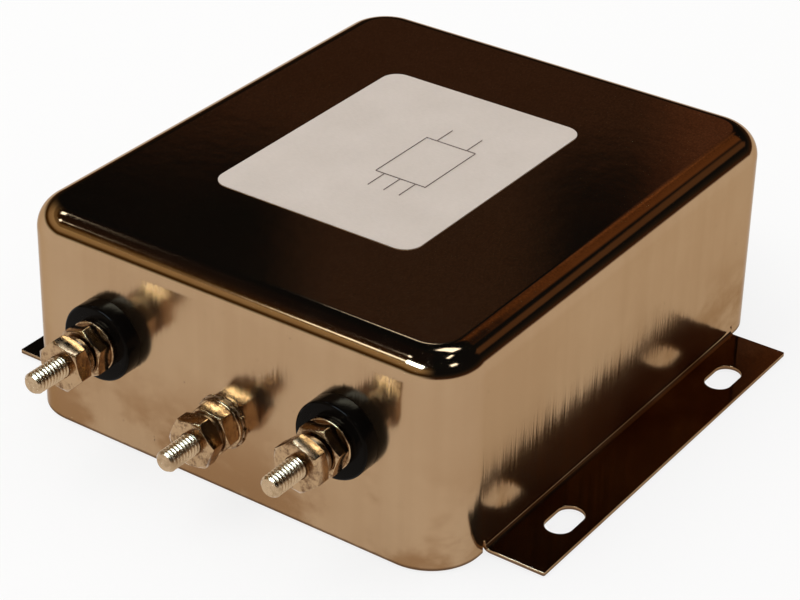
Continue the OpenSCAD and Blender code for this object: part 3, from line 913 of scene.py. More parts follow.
@dataclass(frozen=True)
class PlatedSheet(Dressing):
    """Bright drawn sheet: mirror-like, with fine draw lines and specks, painted shade in patches near
    the base and a painted shadow line along the bottom rim.

    Scales are pattern repeats per metre, heights are millimetres above the base, and
    slopes tell how far the draw lines of the walls tip what they reflect.
    """

    name: str = "plated_sheet"
    base: Colour = (0.44, 0.287, 0.163)
    warm: Colour = (0.405, 0.255, 0.14)
    # painted shade: darker brown near the base, standing in for the floor's shadow seen in the walls
    base_shade: Colour = (0.29, 0.155, 0.07)
    # colour of the top's specks, and of the painted shadow line along the bottom rim
    edge: Colour = (0.11, 0.056, 0.027)
    dot: Colour = (0.11, 0.062, 0.032)
    glancing: Colour = (0.72, 0.62, 0.52)
    smooth: float = 0.045
    rough: float = 0.1
    wall_extra: float = 0.085
    wall_metallic: float = 0.978
    cloud_scale: float = 34.0
    dot_scale: float = 1100.0
    speck_scale: float = 2600.0
    ragged_scale: float = 500.0
    patch_scale: Triple = (44, 44, 66)
    line_scale: Triple = (1700, 1700, 22)
    wide_line_scale: Triple = (330, 330, 7)
    column_scale: Triple = (900, 900, 9)
    fine_column_scale: Triple = (6200, 6200, 70)
    column_slope: float = 0.055
    fine_slope: float = 0.13
    # heights over which the painted shade near the base fades out
    base_shade_heights: Pair = (2.0, 25.0)
    # heights of the painted shadow line along the bottom rim, and how far it wavers
    rim_shade_heights: Pair = (0.4, 0.9)
    rim_shade_ragged: float = 0.3

    def shader(self) -> Shader:
        """Builds the plating from its patterns.

        Returns:
            The shader.
        """
        s = Shader(self.name, self.base, 1.0, self.smooth, sheen=self.glancing)
        facing = s.add("ShaderNodeNewGeometry").outputs["Normal"]
        level = s.math("ABSOLUTE", s.parts(facing)[2])
        wall = s.remap(level, 0.03, 0.3, 1.0, 0.0, True)
        clouds = s.noise(self.cloud_scale, 4, 0.6)
        specks = s.noise(self.speck_scale, 2, 0.6)
        wide_lines = s.streaks(self.wide_line_scale, 2, 0.5)
        tone_and_painted_shade = self.tone_and_painted_shade(s, s.pooled(clouds, wide_lines, 0.7))
        grainy = s.math("MULTIPLY", s.remap(level, 0.9, 0.99, 0.0, 1.0, True),
                        s.remap(specks, 0.35, 0.6, 0, 0.4))
        # specks on the top faces darken towards the same colour that paints the rim shadow
        s.colour(s.mixed(grainy, tone_and_painted_shade, self.edge))
        gloss = s.remap(s.pooled(specks, clouds, 0.5), 0.35, 0.65, self.smooth, self.rough)
        s.roughness(s.math("ADD", gloss, s.math("MULTIPLY", wall, self.wall_extra)))
        s.put(s.surface.inputs["Metallic"], s.remap(wall, 0.0, 1.0, 1.0, self.wall_metallic))
        lines = s.streaks(self.line_scale, 3, 0.65)
        drawn = s.math("MULTIPLY", lines, s.math("ADD", s.math("MULTIPLY", wall, 0.85), 0.15))
        s.bumps((drawn, 0.004, 0.6), (wide_lines, 0.02, 0.4), (clouds, 0.12, 0.3),
                (specks, 0.0016, 0.6), lean=s.math("MULTIPLY", self.tipped(s), wall))
        return s

    def tone_and_painted_shade(self, s: Shader, tone: bpy.types.NodeSocket) -> bpy.types.NodeSocket:
        """Colours the plating, with painted shade in patches near the base, a painted shadow line along
        the bottom rim, and dots.

        Args:
            s: The material.
            tone: Pattern between the two plating colours.

        Returns:
            Colour socket.
        """
        height = s.parts(s.coords)[2]
        col = s.mixed(s.remap(tone, 0.35, 0.65, 0, 1, True), self.base, self.warm)
        # painted shade: darker patches that fade out upwards from the base, for the floor's shadow
        # reflected in the walls
        low, high = (h * MM for h in self.base_shade_heights)
        patchy = s.remap(s.streaks(self.patch_scale, 5, 0.6), 0.43, 0.6, 0, 1, True)
        base_shade_mask = s.math("MULTIPLY", s.remap(height, low, high, 0.95, 0.0, True), patchy)
        col = s.mixed(base_shade_mask, col, self.base_shade)
        # painted shade: a dark line along the bottom rim, where the can meets the pan and the floor
        low, high = (h * MM for h in self.rim_shade_heights)
        waver = s.math("MULTIPLY", s.noise(self.ragged_scale, 2, 0.5), self.rim_shade_ragged * MM)
        cut = s.remap(s.math("ADD", height, waver), low, high, 0.9, 0.0, True)
        col = s.mixed(cut, col, self.edge)
        return s.mixed(s.remap(s.noise(self.dot_scale, 1, 0.4), 0.8, 0.84, 0, 0.75), col, self.dot)

    def tipped(self, s: Shader) -> bpy.types.NodeSocket:
        """Adds the slopes of the upright draw lines, wide and fine.

        Args:
            s: The material.

        Returns:
            Slope around 0.
        """
        slopes = []
        for scale, detail, roughness, slope in (
                (self.column_scale, 4, 0.75, self.column_slope),
                (self.fine_column_scale, 1, 0.5, self.fine_slope)):
            around_zero = s.math("SUBTRACT", s.streaks(scale, detail, roughness), 0.5)
            slopes.append(s.math("MULTIPLY", around_zero, slope))
        return s.math("ADD", *slopes)


@dataclass(frozen=True)
class CastPlating(Dressing):
    """Plated hardware: bright, slightly pitted metal with tarnish in its mottling."""

    name: str
    base: Colour
    tarnish: Colour
    smooth: float = 0.12
    rough: float = 0.3
    pit: float = 0.02
    mottle_scale: float = 360.0
    pit_scale: float = 1700.0
    turned_scale: Triple = (5200, 700, 700)

    def shader(self) -> Shader:
        """Builds the plating from mottling, pits and turning marks.

        Returns:
            The shader.
        """
        s = Shader(self.name, self.base, 1.0, self.rough)
        mottling = s.noise(self.mottle_scale, 5, 0.68)
        pits = s.noise(self.pit_scale, 3, 0.6)
        turned = s.streaks(self.turned_scale, 2, 0.5)
        tone = s.pooled(mottling, pits, 0.7)
        s.colour(s.mixed(s.remap(tone, 0.45, 0.63, 0, 0.9, True), self.base, self.tarnish))
        s.roughness(s.remap(tone, 0.35, 0.65, self.smooth, self.rough))
        s.bumps((mottling, self.pit, 0.5), (pits, self.pit * 0.5, 0.5), (turned, 0.004, 0.4))
        return s


@dataclass(frozen=True)
class PaperLabel(Dressing):
    """Matte printed label stock with faint fibres."""

    name: str = "label_stock"
    base: Colour = (0.635, 0.56, 0.5)
    shade: Colour = (0.575, 0.505, 0.445)
    specular: float = 0.35
    fibre_scale: Triple = (2600, 900, 2600)
    cloud_scale: float = 90.0

    def shader(self) -> Shader:
        """Builds the label stock from fibres and soft clouds.

        Returns:
            The shader.
        """
        s = Shader(self.name, self.base, 0.0, 0.55, self.specular)
        fibres = s.streaks(self.fibre_scale, 6, 0.7)
        clouds = s.noise(self.cloud_scale, 4, 0.55)
        tone = s.pooled(fibres, clouds, 0.45)
        s.colour(s.mixed(s.remap(tone, 0.35, 0.65, 0, 1), self.base, self.shade))
        s.roughness(s.remap(fibres, 0.3, 0.7, 0.48, 0.62))
        s.bumps((fibres, 0.012, 0.35), (clouds, 0.05, 0.15))
        return s


@dataclass(frozen=True)
class Shop:
    """All finishes of the filter."""

    sheet: PlatedSheet = PlatedSheet()
    label: PaperLabel = PaperLabel()
    ink: Finish = Finish("label_ink", (0.14, 0.11, 0.1), (0.2, 0.16, 0.14), rough=0.6, smooth=0.5,
                         grain_size=0.2, depth=0.002)
    insulator: Finish = Finish("moulded_black", (0.0022, 0.0018, 0.0015), (0.0038, 0.003, 0.0024),
                               smooth=0.08, rough=0.16, grain=Grain.MOULDED, grain_size=0.5,
                               depth=0.006, specular=0.04, sheen=(1.0, 0.82, 0.66))
    nuts: CastPlating = CastPlating("nickel_hardware", (0.44, 0.285, 0.155), (0.14, 0.065, 0.026))
    studs: CastPlating = CastPlating("nickel_thread", (0.52, 0.37, 0.225), (0.38, 0.25, 0.14),
                                     0.2, 0.34, 0.008)
    spring: Finish = Finish("spring_steel", (0.32, 0.215, 0.127), (0.24, 0.153, 0.09), 1.0,
                            0.22, 0.38, Grain.TURNED, 0.25, 0.012)
    lugs: Finish = Finish("tinned_lug", (0.62, 0.58, 0.52), (0.5, 0.46, 0.4), 1.0,
                          0.25, 0.4, Grain.EVEN, 0.5, 0.012)
    core: Finish = Finish("core_coating", (0.03, 0.13, 0.07), (0.045, 0.17, 0.095),
                          smooth=0.32, rough=0.5, grain=Grain.MOULDED, grain_size=0.8, depth=0.05)
    copper: Finish = Finish("enamelled_copper", (0.46, 0.15, 0.055), (0.36, 0.1, 0.035), 0.85,
                            0.16, 0.28, Grain.EVEN, 1.2, 0.008)
    tinned: Finish = Finish("tinned_wire", (0.66, 0.63, 0.58), (0.52, 0.5, 0.46), 1.0,
                            0.2, 0.34, Grain.EVEN, 0.4, 0.008)
    cup: Finish = Finish("cup_plastic", (0.03, 0.03, 0.035), (0.045, 0.044, 0.05),
                         smooth=0.35, rough=0.5, grain=Grain.MOULDED, grain_size=0.5, depth=0.01)
    nylon: Finish = Finish("natural_nylon", (0.62, 0.59, 0.5), (0.54, 0.51, 0.42),
                           smooth=0.35, rough=0.5, grain=Grain.MOULDED, grain_size=0.6, depth=0.01)
    x_case: Finish = Finish("film_capacitor", (0.62, 0.4, 0.06), (0.54, 0.34, 0.045),
                            smooth=0.3, rough=0.42, grain=Grain.MOULDED, grain_size=0.4, depth=0.008)
    y_coat: Finish = Finish("disc_coating", (0.05, 0.16, 0.42), (0.04, 0.12, 0.34),
                            smooth=0.25, rough=0.42, grain=Grain.EVEN, grain_size=0.9, depth=0.03)
    resistor: Finish = Finish("resistor_body", (0.38, 0.55, 0.58), (0.33, 0.49, 0.52),
                              smooth=0.3, rough=0.42, grain=Grain.MOULDED, grain_size=0.3, depth=0.008)
    liner: Finish = Finish("pressboard", (0.5, 0.43, 0.27), (0.42, 0.35, 0.2),
                           smooth=0.6, rough=0.75, grain=Grain.FIBRE, grain_size=0.3, depth=0.02)
    resin: Finish = Finish("potting_compound", (0.014, 0.013, 0.012), (0.022, 0.02, 0.018),
                           smooth=0.18, rough=0.4, grain=Grain.EVEN, grain_size=2.5, depth=0.06)


SHOP = Shop()


# ---------------------------------------------------------------- handing over

def deliver(piece: bpy.types.Object, slot: str, finish: Optional[bpy.types.Material],
            *nodes: str) -> bpy.types.Object:
    """Dresses a finished piece, lets it ride and reports it.

    Args:
        piece: The finished object.
        slot: Not used.
        finish: Its material, or None if it has one.
        nodes: CAD nodes that it stands for.

    Returns:
        The piece.
    """
    if finish is not None:
        piece.data.materials.clear()
        piece.data.materials.append(finish)
    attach(piece, "root")
    if nodes:
        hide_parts(*nodes)
    LOG.info("%s: %d faces", piece.name, len(piece.data.polygons))
    return piece


def dress_node(node: str, finish: bpy.types.Material) -> None:
    """Gives a CAD node that stays in view its finish.

    Args:
        node: Name of the node.
        finish: Material for all its slots.
    """
    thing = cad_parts[node]
    if not thing.material_slots:
        thing.data.materials.append(finish)
    for place in thing.material_slots:
        place.material = finish
    LOG.info("%s: carried over, %s", node, finish.name)


# ---------------------------------------------------------------- housing

class Station(NamedTuple):
    """Point on a plan outline, with the direction that points out of it."""

    x: float
    y: float
    out_x: float
    out_y: float

    def at(self, inset: float, z: float) -> np.ndarray:
        """Place at a height, moved in from the outline."""
        return np.array([self.x - inset * self.out_x, self.y - inset * self.out_y, z])

    def lean(self, level: float, rise: float) -> np.ndarray:
        """Direction that is partly outwards and partly upwards."""
        return np.array([self.out_x * level, self.out_y * level, rise])


def plan_ring(hx: float, hy: float, r: float, steps: int,
              breaks: Sequence[float] = ()) -> list[Station]:
    """Points round a rounded rectangle, anticlockwise from its +x, -y corner.

    Args:
        hx: Half length.
        hy: Half width.
        r: Corner radius.
        steps: Faces round each corner.
        breaks: Places along x that both long sides have a point at.

    Returns:
        The points in order, without a repeated last one.
    """
    cx, cy = hx - r, hy - r
    ring: list[Station] = []
    inner = sorted(b for b in breaks if -cx < b < cx)
    for q, (sx, sy) in enumerate([(1, -1), (1, 1), (-1, 1), (-1, -1)]):
        for k in range(steps + 1):
            a = (q - 1) * QUARTER + QUARTER * k / steps
            ring.append(Station(sx * cx + r * math.cos(a), sy * cy + r * math.sin(a),
                                math.cos(a), math.sin(a)))
        if q == 1:
            ring += [Station(b, hy, 0.0, 1.0) for b in reversed(inner)]
        if q == 3:
            ring += [Station(b, -hy, 0.0, -1.0) for b in inner]
    return ring


@dataclass
class Housing:
    """Drawn can with its two flanges, and the pan that closes it underneath.

    A point of the outline is on a straight side if STRAIGHT or more of its outward
    direction lies along an axis.
    """

    STRAIGHT: ClassVar[float] = 0.999
    corner: float = 10.2
    top_edge: float = 5.4
    sheet: float = 0.8
    flange_reach: float = 12.0
    flange_half: float = 43.9
    flange_corner: float = 0.35
    fold: float = 1.0
    slit_width: float = 0.5
    slit_height: float = 2.4
    slot_dx: float = 57.4
    slot_dy: float = 108.4
    slot_length: float = 9.0
    slot_width: float = 5.2
    neck_hole: float = 8.6
    earth_hole: float = 4.4
    rim: float = 0.12
    cover_gap: float = 0.1
    cover_bend: float = 1.1
    corner_faces: int = 24
    edge_faces: int = 16
    bend_faces: int = 8
    flange_faces: int = 4
    side_faces: int = 30
    hole_faces: int = 32

    def __post_init__(self) -> None:
        """Reads the main sizes from the frame."""
        _, hi = box_mm("drawn_can")
        self.half_l = float(hi[0])
        self.half_w = float(hi[1]) - self.flange_reach
        self.height = float(hi[2])
        self.shoulder = self.height - self.top_edge
        self.fold_top = self.sheet + self.fold
        lo_i, hi_i = box_mm("line_insulators_outer")
        self.term_z = float(lo_i[2] + hi_i[2]) / 2
        self.term_y = float(hi_i[1] - (hi_i[2] - lo_i[2]) / 2)
        lo_e, hi_e = box_mm("earth_washer")
        self.earth_z = float(lo_e[2] + hi_e[2]) / 2
        self.along = np.linspace(-self.flange_half, self.flange_half, self.side_faces + 1)
        self.levels = [0.0, self.fold_top, self.slit_height, self.shoulder]

    def skin(self) -> Skin:
        """Builds the can's outer surface.

        Returns:
            The open surface of walls, drawn edge, top, folds and flanges.
        """
        s = Skin()
        slit_end = self.flange_half + self.slit_width
        ring = plan_ring(self.half_l, self.half_w, self.corner, self.corner_faces,
                         [*self.along, -slit_end, slit_end])
        for a, b in zip(ring, [*ring[1:], ring[0]]):
            low = self.lower_end(a, b)
            if min(abs(a.out_x), abs(b.out_x)) < self.STRAIGHT:
                s.grid([[(c.at(0.0, z), c.lean(1.0, 0.0)) for c in (a, b)]
                        for z in self.levels if z >= low])
            self.edge_strip(s, a, b)
            if low == self.fold_top:
                self.fold_strip(s, a, b)
        s.flat([c.at(self.top_edge, self.height) for c in ring], [], ALONG_X, ALONG_Y)
        for side in (-1, 1):
            self.flange(s, side)
            self.end_wall(s, side)
        return s

    def lower_end(self, a: Station, b: Station) -> float:
        """Finds where the wall ends below: at the base, at a slit or at the fold.

        Args:
            a: First of two neighbouring points of the outline.
            b: Second point.

        Returns:
            Height of the lower end.
        """
        middle = abs(a.x + b.x) / 2
        if min(abs(a.out_y), abs(b.out_y)) < self.STRAIGHT:
            return 0.0
        if middle < self.flange_half:
            return self.fold_top
        return self.slit_height if middle < self.flange_half + self.slit_width else 0.0

    def edge_strip(self, s: Skin, a: Station, b: Station) -> None:
        """Adds the drawn edge between wall and top for two points.

        Args:
            s: The surface.
            a: First point.
            b: Second point.
        """
        rows = []
        for k in range(self.edge_faces + 1):
            t = QUARTER * k / self.edge_faces
            leans = [(c, c.lean(math.cos(t), math.sin(t))) for c in (a, b)]
            rows.append([(c.at(self.top_edge, self.shoulder) + self.top_edge * n, n)
                         for c, n in leans])
        s.grid(rows)

    def fold_strip(self, s: Skin, a: Station, b: Station) -> None:
        """Adds the fold between wall and flange for two points of a long side.

        Args:
            s: The surface.
            a: First point.
            b: Second point.
        """
        rows = []
        for k in range(self.bend_faces + 1):
            t = QUARTER * k / self.bend_faces
            out, z = self.fold * (1 - math.cos(t)), self.sheet + self.fold * (1 - math.sin(t))
            rows.append([(c.at(-out, z), c.lean(math.cos(t), math.sin(t))) for c in (a, b)])
        s.grid(rows)

    def flange(self, s: Skin, side: int) -> None:
        """Adds one flange plate with its two slots.

        Args:
            s: The surface.
            side: +1 for the +Y flange, -1 for the other.
        """
        y0 = side * (self.half_w + self.fold)
        y1 = side * (self.half_w + self.flange_reach)
        z, r = self.sheet, self.flange_corner
        loop = [np.array([x, y0, z]) for x in self.along]
        for sx in (1, -1):
            c = np.array([sx * (self.flange_half - r), y1 - side * r, z])
            arc = [c + r * np.array([sx * math.cos(t), side * math.sin(t), 0])
                   for t in np.linspace(0, QUARTER, self.flange_faces + 1)]
            loop += arc if sx > 0 else arc[::-1]
        half, rad = (self.slot_length - self.slot_width) / 2, self.slot_width / 2
        holes = []
        for sx in (-1, 1):
            x, y = sx * self.slot_dx / 2, side * self.slot_dy / 2
            holes.append([np.array([x + e * (half + rad * math.cos(t)), y + e * rad * math.sin(t), z])
                          for e in (1, -1)
                          for t in np.linspace(-QUARTER, QUARTER, self.hole_faces // 2 + 1)])
        s.flat(loop, holes, ALONG_X, ALONG_Y)

    def end_wall(self, s: Skin, side: int) -> None:
        """Adds the flat of one end wall with the openings for its terminals.

        Args:
            s: The surface.
            side: +1 for the LOAD wall, -1 for the LINE wall.
        """
        x, y_end = side * self.half_l, self.half_w - self.corner
        loop = [np.array([x, -y_end, z]) for z in self.levels]
        loop += [np.array([x, y_end, z]) for z in reversed(self.levels)]
        spots = [(y, self.term_z, self.neck_hole / 2) for y in (-self.term_y, self.term_y)]
        if side < 0:
            spots.append((0.0, self.earth_z, self.earth_hole / 2))
        holes = [[np.array([x, y + r * math.cos(t), z + r * math.sin(t)])
                  for t in np.linspace(0, 2 * math.pi, self.hole_faces + 1)[:-1]]
                 for y, z, r in spots]
        s.flat(loop, holes, side * ALONG_Y, ALONG_Z)

    def cover(self) -> Form:
        """Builds the pan that closes the can underneath.

        Returns:
            A closed shape.
        """
        _, hi = box_mm("base_cover")
        bend, top = self.cover_bend, float(hi[2])
        ring = plan_ring(float(hi[0]), float(hi[1]), self.corner - self.sheet - self.cover_gap,
                         self.corner_faces)
        s = Skin()
        for a, b in zip(ring, [*ring[1:], ring[0]]):
            rows = []
            for k in range(self.bend_faces + 1):
                t = QUARTER * k / self.bend_faces
                leans = [(c, c.lean(math.sin(t), -math.cos(t))) for c in (a, b)]
                rows.append([(c.at(bend, bend) + bend * n, n) for c, n in leans])
            rows.append([(c.at(0.0, top), c.lean(1.0, 0.0)) for c in (a, b)])
            s.grid(rows)
        s.flat([c.at(bend, 0.0) for c in ring], [], ALONG_X, -ALONG_Y)
        return s.thickened(self.sheet, self.rim)

    def build(self) -> None:
        """Builds and dresses the can and its cover."""
        can = self.skin().thickened(self.sheet, self.rim).as_object("can_shell")
        deliver(can, "drawn_can", SHOP.sheet.made(), "drawn_can")
        pan = self.cover().as_object("cover_pan")
        deliver(pan, "cover", SHOP.sheet.made(), "base_cover")


@dataclass
class RatingLabel:
    """Printed label on the top face, with a plain block outline and its leads."""

    radius: float = 3.5
    corner_faces: int = 10
    rim: float = 0.04
    stroke: float = 0.4
    ink: float = 0.012
    ink_rise: float = 0.004
    block: Pair = (16.6, 11.0)
    centre: Pair = (0.6, -5.2)
    lead: float = 5.3
    line_leads: tuple[float, ...] = (-3.4, 0.0, 3.5)
    load_leads: tuple[float, ...] = (-3.5, 3.2)

    def __post_init__(self) -> None:
        """Reads the label's place from the frame."""
        self.low, self.high = box_mm("rating_label")
        self.middle = (self.low + self.high) / 2

    def strokes(self) -> bpy.types.Object:
        """Draws the outline and leads as thin printed lines.

        Returns:
            The baked mesh of the lines.
        """
        bx, by = self.block[0] / 2, self.block[1] / 2
        ends = [(-bx, -by, bx, -by), (bx, -by, bx, by), (bx, by, -bx, by), (-bx, by, -bx, -by)]
        ends += [(-bx - self.lead, y, -bx, y) for y in self.line_leads]
        ends += [(bx, y, bx + self.lead, y) for y in self.load_leads]
        cx, cy = self.middle[:2] + np.array(self.centre)
        top = float(self.high[2]) + self.ink_rise
        points, edges = [], []
        for x0, y0, x1, y1 in ends:
            edges.append((len(points), len(points) + 1))
            points += [((cx + x0) * MM, (cy + y0) * MM, top * MM),
                       ((cx + x1) * MM, (cy + y1) * MM, top * MM)]
        thing = in_scene("label_lines")
        thing.data.from_pydata(points, edges, [])
        t = ShapeTree("printed_lines")
        width, height = t.size("Stroke width"), t.size("Ink height")
        section = t.add("GeometryNodeCurvePrimitiveQuadrilateral", {"Width": height, "Height": width})
        t.carry(section, t.entry.outputs[0], SHOP.ink.made())
        return t.run(thing, {"Stroke width": self.stroke * MM, "Ink height": self.ink * MM})

    def build(self) -> None:
        """Builds and dresses the label and its lines."""
        half = (self.high - self.low) / 2
        ring = plan_ring(float(half[0]), float(half[1]), self.radius, self.corner_faces)
        s = Skin()
        s.flat([np.array([self.middle[0] + p.x, self.middle[1] + p.y, self.high[2]]) for p in ring],
               [], ALONG_X, ALONG_Y)
        sheet = s.thickened(float(self.high[2] - self.low[2]), self.rim).as_object("label_sheet")
        deliver(sheet, "label", SHOP.label.made(), "rating_label")
        deliver(self.strokes(), "label", None)


# ---------------------------------------------------------------- terminals

LINE_TURN = np.array([[0.0, 0, -1], [0, 1, 0], [1, 0, 0]])
HALF_TURN = np.array([[-1.0, 0, 0], [0, -1, 0], [0, 0, 1]])


class End(Enum):
    """The two ends of the filter."""

    LINE = "line"
    LOAD = "load"


@dataclass(frozen=True)
class Seat:
    """One place on an end wall: its side, height, level above the wall, and turn in degrees."""

    end: End
    y: float
    z: float
    level: float
    turn: float

    def pose(self, wall: float) -> tuple[np.ndarray, np.ndarray]:
        """Works out where a piece stands.

        Args:
            wall: Distance of the wall from the centre.

        Returns:
            Rotation matrix and place in millimetres.
        """
        a = math.radians(90 - self.turn)
        spin = np.array([[math.cos(a), -math.sin(a), 0], [math.sin(a), math.cos(a), 0], [0, 0, 1]])
        turn, place = LINE_TURN @ spin, np.array([-wall - self.level, self.y, self.z])
        if self.end is End.LOAD:
            turn, place = HALF_TURN @ turn, HALF_TURN @ place
        return turn, place


class FastenerCopies(ShapeTree):
    """Stands a copy of one fastener on each point, turned as the point says."""

    def __init__(self) -> None:
        """Builds the tree."""
        super().__init__("fastener_copies")
        blank = self.size("Fastener", "NodeSocketObject")
        scale, finish = self.size("Scale"), self.size("Finish", "NodeSocketMaterial")
        info = self.add("GeometryNodeObjectInfo", {"Object": blank})
        turn = self.add("GeometryNodeInputNamedAttribute", {"Name": "turn"}, data_type="FLOAT_VECTOR")
        rotation = self.add("FunctionNodeEulerToRotation", {0: turn.outputs[0]})
        copies = self.add("GeometryNodeInstanceOnPoints", {
            "Points": self.entry.outputs[0], "Instance": info.outputs["Geometry"],
            "Rotation": rotation.outputs[0], "Scale": scale})
        self.close(copies.outputs[0], finish)

    def placed(self, name: str, blank: Form, poses: Sequence[tuple[np.ndarray, np.ndarray]],
               finish: bpy.types.Material) -> bpy.types.Object:
        """Makes the copies of one fastener.

        Args:
            name: Name of the result.
            blank: Shape of one fastener, standing on z = 0.
            poses: Rotation matrix and place of each copy.
            finish: Material of the copies.

        Returns:
            One baked mesh with all copies.
        """
        part = blank.as_object(name + "_blank")
        thing = in_scene(name)
        thing.data.from_pydata([tuple(place * MM) for _, place in poses], [], [])
        turns = thing.data.attributes.new("turn", "FLOAT_VECTOR", "POINT")
        for k, (turn, _) in enumerate(poses):
            turns.data[k].vector = Matrix(turn.tolist()).to_euler("XYZ")[:]
        self.run(thing, {"Fastener": part, "Scale": 1.0, "Finish": finish})
        bpy.data.objects.remove(part)
        return thing


class RolledThread(ShapeTree):
    """Helical thread on a rod with coned ends.

    A flat grid is wrapped round the axis. It climbs by one pitch in each turn, and its
    radius goes from root to crest and back with its place in the pitch.
    """

    def __init__(self) -> None:
        """Builds the tree."""
        super().__init__("rolled_thread")
        crest, root, lead = self.size("Crest radius"), self.size("Root radius"), self.size("Pitch")
        low, high, tip = self.size("Inner end"), self.size("Tip"), self.size("Tip radius")
        columns, rows = self.size("Columns", "NodeSocketInt"), self.size("Rows", "NodeSocketInt")
        per_turn = self.size("Rows per turn")
        grid = self.add("GeometryNodeMeshGrid", {
            "Size X": 1.0, "Size Y": 1.0, "Vertices X": columns, "Vertices Y": rows})
        place = self.parts(self.add("GeometryNodeInputPosition").outputs[0])
        share = self.math("ADD", place[0], 0.5)
        last = self.math("SUBTRACT", rows, 1.0)
        row = self.math("ROUND", self.math("MULTIPLY", self.math("ADD", place[1], 0.5), last))
        z = self.climb(row, share, per_turn, lead)
        z = self.math("MINIMUM", self.math("MAXIMUM", self.math("ADD", low, z), low), high)
        r = self.flank(row, per_turn, root, crest)
        for cone in (self.math("SUBTRACT", high, z), self.math("SUBTRACT", z, low)):
            r = self.math("MINIMUM", r, self.math("ADD", tip, cone))
        open_rows = self.math("MULTIPLY", self.math("GREATER_THAN", row, 0.5),
                              self.math("LESS_THAN", row, self.math("SUBTRACT", last, 0.5)))
        r = self.math("MULTIPLY", r, open_rows)
        a = self.math("MULTIPLY", share, -2 * math.pi)
        spot = self.xyz(self.math("MULTIPLY", r, self.math("COSINE", a)),
                        self.math("MULTIPLY", r, self.math("SINE", a)), z)
        moved = self.add("GeometryNodeSetPosition", {"Geometry": grid.outputs[0], "Position": spot})
        merged = self.add("GeometryNodeMergeByDistance", {
            "Geometry": moved.outputs[0], "Distance": 0.002 * MM})
        self.close(merged.outputs[0], SHOP.studs.made())

    def climb(self, row: bpy.types.NodeSocket, share: bpy.types.NodeSocket,
              per_turn: bpy.types.NodeSocket, lead: bpy.types.NodeSocket) -> bpy.types.NodeSocket:
        """Height of a grid point above the inner end, from its row and its share of a turn."""
        turns = self.math("ADD", self.math("DIVIDE", row, per_turn), self.math("SUBTRACT", share, 1.0))
        return self.math("MULTIPLY", turns, lead)

    def flank(self, row: bpy.types.NodeSocket, per_turn: bpy.types.NodeSocket,
              root: bpy.types.NodeSocket, crest: bpy.types.NodeSocket) -> bpy.types.NodeSocket:
        """Works out the radius of a row, with flat roots and crests.

        Args:
            row: Number of the row.
            per_turn: Rows in one turn.
            root: Root radius.
            crest: Crest radius.

        Returns:
            Radius of the row.
        """
        phase = self.math("FRACT", self.math("DIVIDE", self.math("ADD", row, 0.25), per_turn))
        wave = self.math("ABSOLUTE", self.math("SUBTRACT", self.math("MULTIPLY", phase, 2.0), 1.0))
        wave = self.remap(wave, 0.2, 0.8, 0.0, 1.0)
        return self.math("ADD", root, self.math("MULTIPLY", wave, self.math("SUBTRACT", crest, root)))


@dataclass
class ThreadedStud:
    """Rod of a stud with its rolled thread."""

    major: float = 4.17
    minor: float = 3.42
    pitch: float = 0.794
    tip: float = 3.24
    columns: int = 40
    per_turn: int = 6
    spare_turns: float = 2.2

    def __post_init__(self) -> None:
        """Builds the thread's tree, once for all studs."""
        self.tree = RolledThread()

    def form(self, start: float, end: float) -> Form:
        """Builds the threaded rod of one stud.

        Args:
            start: Height of its inner end.
            end: Height of its free tip.

        Returns:
            A closed shape along z.
        """
        turns = (end - start) / self.pitch + self.spare_turns
        thing = self.tree.run(in_scene("stud_rod"), {
            "Crest radius": self.major / 2 * MM, "Root radius": self.minor / 2 * MM,
            "Pitch": self.pitch * MM, "Inner end": start * MM, "Tip": end * MM,
            "Tip radius": self.tip / 2 * MM, "Columns": self.columns + 1,
            "Rows": int(turns * self.per_turn), "Rows per turn": float(self.per_turn)})
        return outward(Form.taken_from(thing))


def outward(form: Form) -> Form:
    """Turns all faces of a closed shape outwards.

    Args:
        form: The shape.

    Returns:
        The same shape with its faces reversed if its volume was negative.
    """
    p = form.points
    volume = 0.0
    for f in form.faces:
        for k in range(1, len(f) - 1):
            volume += float(np.dot(p[f[0]], np.cross(p[f[k]], p[f[k + 1]])))
    if volume < 0:
        return Form(p, [tuple(reversed(f)) for f in form.faces], form.normals)
    return form


